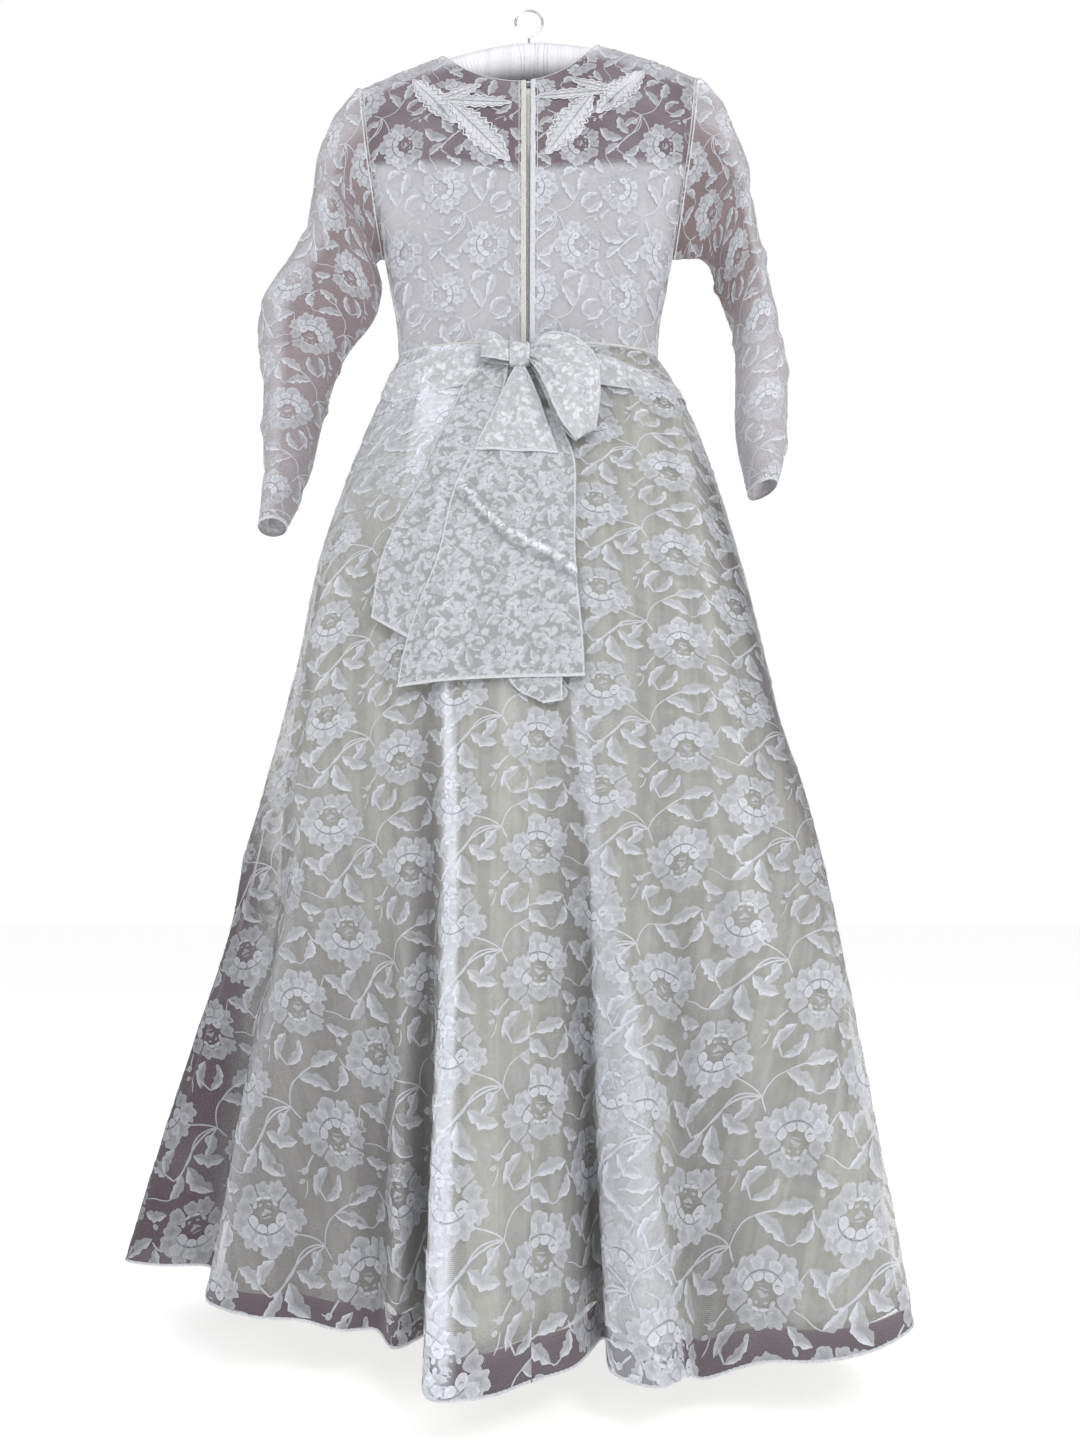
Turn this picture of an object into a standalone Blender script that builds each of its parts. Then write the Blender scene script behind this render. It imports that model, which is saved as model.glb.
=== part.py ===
# Wedding dress hanging on a padded satin hanger.
# Metres, +Z up.  The origin is the inside top of the hook, where a rail holds it.
# -Y is the back of the dress, with the zip and the bow; +X is the wearer's right.
import math

import bmesh
import bpy
from mathutils import Vector
from mathutils.geometry import delaunay_2d_cdt

# Driving dimensions.  Heights are above the hem at centre back.
hook_height = 1.576
waist_height = 1.061
underarm_height = 1.205
neck_half_width = 0.110
neck_shift = -0.012          # the neck has slipped a little along the hanger
back_neck_height = 1.436
front_neck_height = 1.490
wall = 0.0012                # one layer of cloth
seam_gap = 0.0003
pad_radius = 0.0225
pad_half_length = 0.208
corner_power = 2.3           # how square the cloth hangs: 2 would be an ellipse


def table(columns, *rows):
    names = columns.split()
    return [dict(zip(names, row)) for row in rows]


def read(rows, key, at, column):
    """Value of a column at a key, smooth between the rows."""
    keys = [row[key] for row in rows]
    values = [row[column] for row in rows]
    if keys[0] > keys[-1]:
        keys.reverse()
        values.reverse()
    at = min(max(at, keys[0]), keys[-1])
    k = 0
    while k < len(keys) - 2 and at > keys[k + 1]:
        k += 1
    gap = keys[k + 1] - keys[k]
    part = (at - keys[k]) / gap
    before, after = max(k - 1, 0), min(k + 2, len(keys) - 1)
    slope_in = (values[k + 1] - values[before]) / (keys[k + 1] - keys[before]) * gap
    slope_out = (values[after] - values[k]) / (keys[after] - keys[k]) * gap
    return hermite(values[k], values[k + 1], slope_in, slope_out, part)


def hermite(a, b, slope_a, slope_b, part):
    square, cube = part * part, part * part * part
    return (a * (2 * cube - 3 * square + 1) + slope_a * (cube - 2 * square + part)
            + b * (3 * square - 2 * cube) + slope_b * (cube - square))


def ease(value):
    value = min(max(value, 0.0), 1.0)
    return value * value * (3 - 2 * value)


def mix(a, b, part):
    return a + (b - a) * part


def power(value, exponent):
    return math.copysign(abs(value) ** exponent, value)


def steps(start, end, count):
    return [mix(start, end, i / count) for i in range(count + 1)]


# ---------------------------------------------------------------- bodice
bodice_sections = table(
    "height side back front arm",
    # height, half width, depth behind and before, half opening of the armhole
    (1.061, 0.1650, 0.047, 0.050, 0.000),
    (1.110, 0.1690, 0.049, 0.058, 0.000),
    (1.160, 0.1785, 0.052, 0.068, 0.000),
    (1.205, 0.1870, 0.053, 0.074, 0.001),
    (1.240, 0.1925, 0.053, 0.075, 0.018),
    (1.290, 0.2000, 0.052, 0.070, 0.030),
    (1.350, 0.2090, 0.049, 0.060, 0.034),
    (1.410, 0.2170, 0.044, 0.050, 0.029),
    (1.463, 0.2235, 0.036, 0.038, 0.020),
)
shoulder_line = table(
    "x height",                  # the hanger dips a little on the wearer's left
    (-0.2235, 1.4480), (-0.205, 1.4575), (-0.165, 1.4765), (-0.120, 1.4945), (-0.060, 1.5130),
    (0.000, 1.5225), (0.060, 1.5190), (0.120, 1.5065), (0.165, 1.4910), (0.205, 1.4740),
    (0.2235, 1.4650),
)
shoulder_reach = bodice_sections[-1]["side"]
hang_depth = 0.110           # below the shoulder the cloth leaves the pad over this drop
pad_cover = pad_radius + wall + 0.0014


def shoulder_height(x):
    return read(shoulder_line, "x", x, "height")


def pad_rise(x):
    """Height of the sloping padded bar's upper half, cut straight down."""
    slope = (shoulder_height(x + 0.01) - shoulder_height(x - 0.01)) / 0.02
    return pad_cover * math.hypot(1, slope)


def neck_ease(x):
    """The neckline stands a little off the pad where it crosses over it."""
    return 0.0026 * math.exp(-((abs(x - neck_shift) - neck_half_width + 0.006) / 0.022) ** 2)


def top_height(x, front):
    """Upper edge of the bodice: neckline, then shoulder seam."""
    from_neck = abs(x - neck_shift) / neck_half_width
    if from_neck >= 1:
        return shoulder_height(x)
    low = front_neck_height if front else back_neck_height
    rim = neck_shift + math.copysign(neck_half_width, x - neck_shift)
    return mix(low, shoulder_height(rim), from_neck ** 1.9)


def pad_depth(x, height):
    """Half depth that the cloth keeps round the padded bar."""
    above = (height - shoulder_height(x)) / pad_rise(x) + 1
    return (pad_cover + neck_ease(x)) * math.sqrt(max(1 - max(above, 0.0) ** 2, 0.0))


def bodice_point(turn, height, inset=0.0):
    """turn is 0 at centre back, 0.25 at the wearer's right side, 0.5 at centre front."""
    angle = turn * math.tau
    side = read(bodice_sections, "height", height, "side") - inset
    x = side * power(math.sin(angle), 2 / corner_power)
    toward_back = math.cos(angle) > 0
    column = "back" if toward_back else "front"
    depth = read(bodice_sections, "height", height, column) - inset
    arm = max(read(bodice_sections, "height", height, "arm"), 0.0)
    y = arm + (depth - arm) * abs(math.cos(angle)) ** (2 / corner_power)
    if not toward_back:
        y += bust(abs(x), height) * (1 - inset / bust_ease)
    hang = ease((shoulder_height(x) - height) / hang_depth)
    y = mix(pad_depth(x, height), max(y, 0.0), hang)
    if hang > 0 and height > underarm_height + 0.1:
        y = max(y, pad_depth(x, height))
    return Vector((x, -y if toward_back else y, height - hook_height))


bust_ease = 0.012            # a lining this far in would have no darts


def bust(x, height):
    """Fullness that the darts give the front."""
    across = (x - 0.082) / 0.050
    along = (height - 1.235) / 0.060
    return 0.020 * math.exp(-across * across - along * along)


def bodice_place(turn, rise, top=None, inset=0.0):
    """rise is 0 at the waist and 1 at the top edge."""
    angle = turn * math.tau
    x = shoulder_reach * power(math.sin(angle), 2 / corner_power)
    front = math.cos(angle) < 0
    upper = top_height(x, front) if top is None else top(x, front)
    return bodice_point(turn, mix(waist_height, upper, rise), inset)


def lining_top(x, front):
    """Strapless edge of the lining, a little lower at centre back."""
    if front:
        return 1.300 + 0.020 * math.exp(-((abs(x) - 0.085) / 0.05) ** 2)
    return 1.302 + 0.012 * ease(abs(x) / 0.18)


# ---------------------------------------------------------------- skirt
# The hem seen from above, once round from the centre-back seam.  turn is the place on the
# waist where the fold line starts, lift the hem's height, start where the fold opens, and
# pull how much further in than usual the lining hangs.
hem = table(
    "name turn x y lift start pull",
    ("centre_back", 0.000, 0.008, -0.352, 0.000, 0.15, 0),
    ("centre_mid", 0.012, 0.040, -0.328, 0.000, 0.25, 0),
    ("lobe_valley", 0.022, 0.070, -0.274, 0.004, 0.30, 0),
    ("lobe_rise", 0.030, 0.076, -0.340, 0.000, 0.30, 0),
    ("lobe_crest", 0.040, 0.109, -0.363, 0.000, 0.30, 0),
    ("lobe_fall", 0.052, 0.132, -0.342, 0.000, 0.30, 0),
    ("right_valley", 0.066, 0.150, -0.316, -0.012, 0.30, 0),
    ("right_panel", 0.096, 0.196, -0.326, 0.004, 0.20, 0),
    ("right_swell", 0.128, 0.240, -0.340, 0.010, 0.20, 0),
    ("right_edge", 0.158, 0.284, -0.346, 0.021, 0.20, 0),
    ("right_corner", 0.186, 0.318, -0.328, 0.030, 0.15, 0),
    ("right_turn", 0.208, 0.326, -0.270, 0.026, 0.30, 0),
    ("side_valley", 0.228, 0.304, -0.210, 0.026, 0.35, 0),
    ("right_side", 0.250, 0.330, -0.140, 0.022, 0.20, 0),
    ("side_hollow", 0.276, 0.310, -0.072, 0.020, 0.35, 0),
    ("front_corner", 0.304, 0.324, -0.010, 0.016, 0.30, 0),
    ("front_1", 0.334, 0.280, 0.040, 0.012, 0.30, 0),
    ("front_2", 0.362, 0.228, 0.034, 0.010, 0.45, 0),
    ("front_3", 0.392, 0.176, 0.080, 0.008, 0.30, 0),
    ("front_4", 0.424, 0.112, 0.052, 0.006, 0.40, 0),
    ("front_5", 0.456, 0.048, 0.090, 0.006, 0.30, 0),
    ("front_6", 0.490, -0.016, 0.058, 0.006, 0.45, 0),
    ("front_7", 0.524, -0.080, 0.094, 0.006, 0.25, 0),
    ("front_8", 0.558, -0.146, 0.056, 0.008, 0.40, 0),
    ("front_9", 0.590, -0.206, 0.084, 0.010, 0.30, 0),
    ("front_10", 0.622, -0.264, 0.042, 0.014, 0.40, 0.005),
    ("front_11", 0.652, -0.322, 0.046, 0.018, 0.30, 0.030),
    ("front_12", 0.682, -0.350, -0.008, 0.024, 0.30, 0.050),
    ("left_hollow", 0.708, -0.338, -0.066, 0.028, 0.35, 0.050),
    ("left_side", 0.738, -0.385, -0.112, 0.030, 0.20, 0.095),
    ("left_crest", 0.758, -0.392, -0.148, 0.030, 0.20, 0.100),
    ("left_layer", 0.774, -0.352, -0.166, 0.030, 0.30, 0.062),
    ("left_valley", 0.790, -0.306, -0.162, 0.028, 0.40, 0.020),
    ("left_edge", 0.812, -0.280, -0.240, 0.020, 0.20, 0),
    ("left_panel", 0.836, -0.240, -0.254, 0.014, 0.20, 0),
    ("left_middle", 0.858, -0.196, -0.246, 0.008, 0.30, 0),
    ("left_inner", 0.876, -0.158, -0.258, 0.004, 0.35, 0),
    ("small_valley", 0.888, -0.134, -0.248, 0.002, 0.45, 0),
    ("small_crest", 0.899, -0.108, -0.286, 0.000, 0.45, 0),
    ("deep_valley", 0.908, -0.084, -0.260, 0.002, 0.35, 0),
    ("panel_edge", 0.920, -0.062, -0.387, 0.000, 0.35, 0),
    ("panel_flat", 0.956, -0.026, -0.380, 0.000, 0.20, 0),
)
calm_reach = 0.115           # the upper skirt follows the hem averaged over this share of it
lining_hem_rise = 0.027
lining_side_drop = 0.015     # and this much lower at the sides
lining_gap = 0.004           # behind the lace at the waist
lining_gap_hem = 0.009
pull_start = 0.42            # where the lace begins to spread wider than the lining


class Hem:
    """Closed smooth curve through the rows, read at any distance round."""

    def __init__(self, rows):
        self.rows = rows
        count = len(rows)
        self.lengths = []
        for i, row in enumerate(rows):
            after = rows[(i + 1) % count]
            self.lengths.append(math.hypot(after["x"] - row["x"], after["y"] - row["y"]))
        self.calm = {name: [self.average(i, name) for i in range(count)] for name in ("x", "y")}

    def value(self, i, name, calm):
        laps, k = divmod(i, len(self.rows))
        value = self.calm[name][k] if calm else self.rows[k][name]
        return value + laps if name == "turn" else value

    def average(self, i, name):
        """Weighted mean of the neighbours, by their distance along the hem."""
        count, reach = len(self.rows), calm_reach * sum(self.lengths)
        total = weights = 0.0
        for direction in (1, -1):
            distance, k = 0.0, i
            while distance < reach:
                length = self.lengths[(k if direction > 0 else k - 1) % count]
                for part in (0.25, 0.5, 0.75):
                    share = 1 - ease((distance + part * length) / reach)
                    a = self.rows[k % count][name]
                    b = self.rows[(k + direction) % count][name]
                    total += mix(a, b, part) * share * length
                    weights += share * length
                distance += length
                k += direction
        return total / weights

    def read(self, place, name, calm=False):
        """place counts rows: 0 is the first row, 1.5 half way from the second to the third."""
        count = len(self.rows)
        k = math.floor(place)
        before, ahead = self.lengths[(k - 1) % count], self.lengths[k % count]
        beyond = self.lengths[(k + 1) % count]
        a0, a, b, b1 = [self.value(k + n, name, calm) for n in (-1, 0, 1, 2)]
        slope_a = ((a - a0) / before * ahead + (b - a) / ahead * before) / (before + ahead)
        slope_b = ((b - a) / ahead * beyond + (b1 - b) / beyond * ahead) / (ahead + beyond)
        if name == "turn":       # it may only grow
            slope_a = min(slope_a, 3 * (a - a0) / before, 3 * (b - a) / ahead)
            slope_b = min(slope_b, 3 * (b - a) / ahead, 3 * (b1 - b) / beyond)
        return hermite(a, b, slope_a * ahead, slope_b * ahead, place - k)


hem_curve = Hem(hem)
row_count = len(hem)
row_of = {row["name"]: i for i, row in enumerate(hem)}


belly_rows = table(
    "drop left right",           # how far the flare rounds out at the two sides
    (0.00, 0.000, 0.000), (0.05, 0.005, 0.013), (0.12, 0.014, 0.025), (0.26, 0.027, 0.035),
    (0.40, 0.018, 0.038), (0.47, 0.014, 0.038), (0.56, 0.009, 0.045), (0.66, -0.001, 0.040),
    (0.80, 0.000, 0.024), (0.90, 0.000, 0.011), (1.00, 0.000, 0.000),
)


def belly(turn, drop):
    """How far the flare rounds out between waist and hem."""
    side = math.sin(turn * math.tau)
    rounded = read(belly_rows, "drop", drop, "right" if side > 0 else "left")
    return rounded * side * side + 0.010 * math.sin(math.pi * drop ** 0.62)


def skirt_point(place, drop, pull=0.0):
    """Lace skirt.  drop is 0 at the waist and 1 at the hem."""
    turn = hem_curve.read(place, "turn")
    waist = bodice_point(turn, waist_height)
    calm = Vector((hem_curve.read(place, "x", True), hem_curve.read(place, "y", True), 0))
    edge = Vector((hem_curve.read(place, "x"), hem_curve.read(place, "y"), 0))
    start = hem_curve.read(place, "start")
    open_fold = ease((drop - start) / (1 - start)) if drop > start else 0.0
    foot = calm.lerp(edge, open_fold)
    across = Vector((math.sin(turn * math.tau), -math.cos(turn * math.tau), 0))
    out = belly(turn, drop)
    if pull:
        spread = max(drop - pull_start, 0) / (1 - pull_start)
        out -= pull * hem_curve.read(place, "pull") * spread ** 1.3
    spot = waist.lerp(foot, drop) + across * out
    lift = hem_curve.read(place, "lift")
    spot.z = mix(waist_height - seam_gap, lift, drop) - hook_height
    return spot


def skirt_lining_point(place, fall):
    """Lining.  It hangs inside the lace; fall is 1 at its own hem, above the lace's."""
    turn = hem_curve.read(place, "turn")
    short = lining_hem_rise - lining_side_drop * math.sin(turn * math.tau) ** 2
    drop = fall * (1 - short / waist_height)
    spot = skirt_point(place, drop, 1.0)
    reach = 0.3
    along = skirt_point(place + reach, drop, 1.0) - skirt_point(place - reach, drop, 1.0)
    inward = Vector((-along.y, along.x, 0)).normalized()
    return spot + inward * mix(lining_gap, lining_gap_hem, drop)


# ---------------------------------------------------------------- making solids
collection = bpy.data.collections.new("wedding_dress")


def clear_scene():
    for item in list(bpy.data.objects):
        bpy.data.objects.remove(item, do_unlink=True)
    bpy.context.scene.collection.children.link(collection)


def finish(name, colour, roughness, metallic=0.0):
    material = bpy.data.materials.new(name)
    material.use_nodes = True
    shader = material.node_tree.nodes["Principled BSDF"]
    shader.inputs["Base Color"].default_value = (*colour, 1)
    shader.inputs["Roughness"].default_value = roughness
    shader.inputs["Metallic"].default_value = metallic
    return material


def add_object(name, mesh, look):
    mesh.materials.append(finish(name, *look))
    item = bpy.data.objects.new(name, mesh)
    collection.objects.link(item)
    return item


lace_look = ((0.80, 0.80, 0.84), 0.75)
lining_look = ((0.82, 0.80, 0.70), 0.60)
bow_look = ((0.84, 0.86, 0.90), 0.72)
satin_look = ((0.83, 0.81, 0.84), 0.35)
steel_look = ((0.72, 0.72, 0.74), 0.25, 1.0)
zip_look = ((0.86, 0.85, 0.80), 0.50)


def from_mesh(name, mesh, look):
    """Turn a finished bmesh into an object whose faces look outwards."""
    bmesh.ops.triangulate(mesh, faces=mesh.faces, quad_method="SHORT_EDGE")
    bmesh.ops.recalc_face_normals(mesh, faces=mesh.faces)
    if mesh.calc_volume(signed=True) < 0:
        bmesh.ops.reverse_faces(mesh, faces=mesh.faces)
    data = bpy.data.meshes.new(name)
    mesh.to_mesh(data)
    mesh.free()
    data.shade_smooth()
    return add_object(name, data, look)


def cloth(name, point, across, down, look, thick=wall, closed=False, flip=False, half=0):
    """Cloth wall: point(a, b) is its outer face, the inner face lies thick behind it.

    half -1 keeps the piece behind the plane of the side and shoulder seams, 1 before it.
    """
    side = -1 if flip else 1
    edge = 0.5 * seam_gap

    def kept(spot):
        if half:
            spot.y = half * max(spot.y * half, edge)
        return spot

    def face_normal(a, b):
        span_a = (across[-1] - across[0]) * 0.002
        span_b = (down[-1] - down[0]) * 0.002
        b0 = max(min(b - span_b, max(down)), min(down))
        b1 = max(min(b + span_b, max(down)), min(down))
        along = point(a + span_a, b) - point(a - span_a, b)
        down_way = point(a, b1) - point(a, b0)
        return along.normalized(), along.cross(down_way).normalized() * side

    mesh = bmesh.new()
    outer, inner = [], []
    columns = across[:-1] if closed else across
    for i, a in enumerate(columns):
        outer.append([])
        inner.append([])
        for b in down:
            spot = point(a, b)
            along, out = face_normal(a, b)
            if not closed and i == 0:
                spot = spot + along * edge
            if not closed and i == len(columns) - 1:
                spot = spot - along * edge
            outer[-1].append(mesh.verts.new(kept(spot)))
            inner[-1].append(mesh.verts.new(kept(spot - out * thick)))

    def quad(*corners):
        mesh.faces.new(corners)

    last = len(columns) - 1
    for i in range(len(columns) if closed else last):
        n = (i + 1) % len(columns)
        for j in range(len(down) - 1):
            quad(outer[i][j], outer[n][j], outer[n][j + 1], outer[i][j + 1])
            quad(inner[i][j], inner[i][j + 1], inner[n][j + 1], inner[n][j])
        quad(outer[i][0], inner[i][0], inner[n][0], outer[n][0])
        quad(outer[i][-1], outer[n][-1], inner[n][-1], inner[i][-1])
    if not closed:
        for j in range(len(down) - 1):
            quad(outer[0][j], outer[0][j + 1], inner[0][j + 1], inner[0][j])
            quad(outer[last][j], inner[last][j], inner[last][j + 1], outer[last][j + 1])
    return from_mesh(name, mesh, look)


# ---------------------------------------------------------------- bodice pieces
opening_turn = 0.0011        # half the slot between the two back edges
side_turn = 0.2499           # the side seams and the edges of the armholes
neck_columns = (-0.001, 0.004, 0.009, 0.016)   # close together where the neckline crosses the pad
bodice_rises = [0, 0.12, 0.24, 0.34, 0.44, 0.54, 0.64, 0.74, 0.83, 0.90,
                0.943, 0.965, 0.983, 0.9956, 1]
panel_columns = 7
lining_rises = [0, 0.2, 0.4, 0.6, 0.8, 1]


def turn_at(x, side):
    return math.copysign(math.asin((abs(x) / side) ** (corner_power / 2)) / math.tau, x)


def bodice_turns(start, end, count, neck=True):
    """Even columns, and a few more where the neckline crosses the padded bar."""
    turns = steps(start, end, count)
    if not neck:
        return turns
    extra = []
    for hand in (1, -1):
        for inside in neck_columns:
            turn = turn_at(neck_shift + hand * (neck_half_width - inside), shoulder_reach)
            extra += [turn, 0.5 - turn]
    extra = [turn for turn in extra if start + 0.008 < turn < end - 0.008]
    spread = min(abs(end - start) / count * 0.3, 0.006)
    even = [turn for turn in turns if all(abs(turn - other) > spread for other in extra)]
    return sorted(even + extra)


def make_bodice():
    back_right = bodice_turns(opening_turn, side_turn, panel_columns)
    back_left = bodice_turns(-side_turn, -opening_turn, panel_columns)
    front = bodice_turns(0.5 - side_turn, 0.5 + side_turn, 2 * panel_columns)
    cloth("bodice_back_right", bodice_place, back_right, bodice_rises, lace_look, half=-1)
    cloth("bodice_back_left", bodice_place, back_left, bodice_rises, lace_look, half=-1)
    cloth("bodice_front", bodice_place, front, bodice_rises, lace_look, half=1)

    def lining_place(turn, rise):
        return bodice_place(turn, rise, lining_top, wall + 0.0020)

    inner_turn = opening_turn * 1.6
    cloth("bodice_lining_back_right", lining_place,
          bodice_turns(inner_turn, side_turn, 7, neck=False), lining_rises, lining_look, half=-1)
    cloth("bodice_lining_back_left", lining_place,
          bodice_turns(-side_turn, -inner_turn, 7, neck=False), lining_rises, lining_look, half=-1)
    cloth("bodice_lining_front", lining_place,
          bodice_turns(0.5 - side_turn, 0.5 + side_turn, 14, neck=False), lining_rises, lining_look, half=1)


# ---------------------------------------------------------------- skirt pieces
columns_per_row = 3
skirt_drops = [0, 0.05, 0.12, 0.21, 0.32, 0.44, 0.56, 0.68, 0.79, 0.90, 1]
lining_drops = [0, 0.08, 0.2, 0.36, 0.54, 0.72, 0.87, 1]


def skirt_places(start, end, per_row):
    return steps(start, end, round((end - start) * per_row))


def make_skirt():
    right, left = row_of["right_side"], row_of["left_side"]
    cloth("skirt_back_right", skirt_point,
          skirt_places(0, right, columns_per_row), skirt_drops, lace_look, flip=True)
    cloth("skirt_front", skirt_point,
          skirt_places(right, left, 2), skirt_drops, lace_look, flip=True)
    cloth("skirt_back_left", skirt_point,
          skirt_places(left, row_count, columns_per_row), skirt_drops, lace_look, flip=True)
    cloth("skirt_lining_back", skirt_lining_point,
          skirt_places(left - row_count, right, 2), lining_drops, lining_look, flip=True)
    cloth("skirt_lining_front", skirt_lining_point,
          skirt_places(right, left, 2), lining_drops, lining_look, flip=True)


# ---------------------------------------------------------------- sleeves
# Each row is a ring: the end nearer the body and the outer end, and the half depth.
sleeve_right_rings = table(
    "inner_x inner_height outer_x outer_height depth",
    (0.208, 1.208, 0.2600, 1.432, 0.038),
    (0.226, 1.209, 0.2730, 1.388, 0.044),
    (0.238, 1.196, 0.2890, 1.338, 0.046),
    (0.245, 1.168, 0.2950, 1.270, 0.046),
    (0.256, 1.134, 0.3030, 1.208, 0.045),
    (0.266, 1.098, 0.3140, 1.148, 0.044),
    (0.266, 1.050, 0.3260, 1.086, 0.042),
    (0.264, 1.000, 0.3290, 1.028, 0.040),
    (0.264, 0.955, 0.3270, 0.972, 0.037),
    (0.271, 0.912, 0.3200, 0.920, 0.034),
    (0.277, 0.884, 0.3110, 0.892, 0.032),
)
sleeve_left_rings = table(
    "inner_x inner_height outer_x outer_height depth",
    (0.203, 1.196, 0.2580, 1.414, 0.038),
    (0.194, 1.184, 0.2790, 1.350, 0.044),
    (0.191, 1.160, 0.2860, 1.275, 0.046),
    (0.200, 1.124, 0.3050, 1.212, 0.047),
    (0.222, 1.092, 0.3420, 1.146, 0.046),
    (0.240, 1.060, 0.3470, 1.098, 0.044),
    (0.253, 1.018, 0.3370, 1.046, 0.042),
    (0.264, 0.970, 0.3350, 0.982, 0.040),
    (0.272, 0.924, 0.3320, 0.928, 0.037),
    (0.287, 0.874, 0.3320, 0.874, 0.034),
    (0.303, 0.842, 0.3340, 0.834, 0.031),
)
sleeve_ring_points = 16
seam_step = 0.006            # the sleeve leaves the armhole square for this far


def armhole_point(angle, hand):
    """Edge of the armhole: angle 0 underarm, half a turn at the shoulder."""
    top = top_height(hand * shoulder_reach, False)
    height = mix(underarm_height, top, 0.5 - 0.5 * math.cos(angle))
    toward_back = math.sin(angle) >= 0
    turn = 0.2499 if toward_back else 0.2501
    spot = bodice_point(hand * turn, height)
    return spot + Vector((hand * seam_gap, 0, 0))


def make_sleeve(name, rings, hand):
    def sleeve_point(angle, ring):
        if ring < 2:
            spot = armhole_point(angle, hand)
            return spot + Vector((hand * seam_step * ring, 0, 0))
        index = ring - 2

        def at(column):
            return read(keyed, "ring", index, column)

        middle = Vector(((at("inner_x") + at("outer_x")) / 2, 0,
                         (at("inner_height") + at("outer_height")) / 2 - hook_height))
        reach = Vector(((at("outer_x") - at("inner_x")) / 2, 0,
                        (at("outer_height") - at("inner_height")) / 2))
        spot = middle - reach * math.cos(angle)
        spot.y = -at("depth") * math.sin(angle)
        spot.x *= hand
        return spot

    keyed = [dict(row, ring=i) for i, row in enumerate(rings)]
    angles = steps(0, math.tau, sleeve_ring_points)
    down = list(range(len(rings) + 2))
    return cloth(name, sleeve_point, angles, down, lace_look, closed=True, flip=hand > 0)


# ---------------------------------------------------------------- hanger
hook_wire = 0.0016
hook_bend = 0.0185           # radius of the wire's centre line
bar_slope_points = 13


def wire(name, points, radius, look, resolution=3, radii=None):
    curve = bpy.data.curves.new(name, "CURVE")
    curve.dimensions = "3D"
    curve.bevel_depth = radius
    curve.bevel_resolution = resolution
    curve.use_fill_caps = True
    spline = curve.splines.new("POLY")
    spline.points.add(len(points) - 1)
    for i, spot in enumerate(points):
        spline.points[i].co = (*spot, 1)
        spline.points[i].radius = radii[i] if radii else 1
    curve.materials.append(finish(name, *look))
    item = bpy.data.objects.new(name, curve)
    collection.objects.link(item)
    return item


def make_hanger():
    centre_z = -(hook_bend - hook_wire)
    bar_top = shoulder_height(0) - pad_rise(0) + pad_radius - hook_height
    points = [Vector((0, 0, bar_top + seam_gap)),
              Vector((0, 0, centre_z - hook_bend - 0.006)),
              Vector((0.004, 0, centre_z - hook_bend - 0.001))]
    turns = 14
    for i in range(turns + 1):
        angle = math.radians(mix(-52, 200, i / turns))
        points.append(Vector((hook_bend * math.cos(angle), 0, centre_z + hook_bend * math.sin(angle))))
    wire("hanger_hook", points, hook_wire, steel_look, 2)

    spots, radii = [], []
    for share in steps(-1, 1, 2 * bar_slope_points):
        x = pad_half_length * math.sin(share * math.pi / 2)
        spots.append(Vector((x, 0, shoulder_height(x) - pad_rise(x) - hook_height)))
        end = max(abs(x) - (pad_half_length - pad_radius), 0) / pad_radius
        radii.append(max(math.sqrt(max(1 - end * end, 0)), 0.12))
    wire("hanger_pad", spots, pad_radius, satin_look, 4, radii)


# ---------------------------------------------------------------- zip
zip_bottom = 1.064
zip_top = 1.424
tape_half_width = 0.011
tape_behind = 0.0008
tape_thick = 0.0008
slider_size = (0.0060, 0.0030, 0.0090)


def zip_inset(height):
    """Behind the lace at the yoke, behind the lining lower down."""
    behind_lace = wall + tape_behind
    behind_lining = 2 * wall + 0.0020 + tape_behind
    low_edge = lining_top(0, False)
    return mix(behind_lining, behind_lace, ease((height - low_edge - 0.004) / 0.03))


def tape_point(x, height):
    side = read(bodice_sections, "height", height, "side")
    return bodice_point(turn_at(x, side), height, zip_inset(height))


def make_zip():
    cloth("zip_tape", tape_point, steps(-tape_half_width, tape_half_width, 4),
          steps(zip_top, zip_bottom, 12), zip_look, thick=tape_thick, flip=True)
    behind = tape_point(0, zip_top - slider_size[2] / 2)
    back = tape_point(0, zip_top).y + tape_thick + 2 * seam_gap
    block("zip_slider", Vector((0, back + slider_size[1] / 2, behind.z)), slider_size, 0.0008,
          steel_look)


def block(name, middle, size, rounding, look):
    mesh = bmesh.new()
    bmesh.ops.create_cube(mesh, size=1)
    for corner in mesh.verts:
        corner.co = middle + Vector([corner.co[k] * size[k] for k in range(3)])
    bmesh.ops.bevel(mesh, geom=mesh.edges[:], offset=rounding, segments=2, profile=0.5,
                    affect="EDGES")
    return from_mesh(name, mesh, look)


# ---------------------------------------------------------------- leaves sewn on the yoke
leaf_columns = "base_x base_height tip_x tip_height width"
leaves_left = table(
    leaf_columns,
    (-0.1526, 1.4461, -0.0947, 1.3661, 0.0236), (-0.1117, 1.4055, -0.0617, 1.4291, 0.0144),
    (-0.1095, 1.4033, -0.0213, 1.3974, 0.0144), (-0.1035, 1.4010, -0.0234, 1.3085, 0.0275),
)
leaves_right = table(
    leaf_columns,
    (0.1521, 1.4600, 0.0884, 1.3814, 0.0262), (0.1099, 1.4209, 0.0563, 1.4367, 0.0131),
    (0.1085, 1.4194, 0.0085, 1.4065, 0.0118), (0.0830, 1.4125, 0.0231, 1.3189, 0.0288),
)
leaf_points = 9
leaf_thick = 0.0014
leaf_off = 0.0007
leaf_fullness = 0.8


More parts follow.
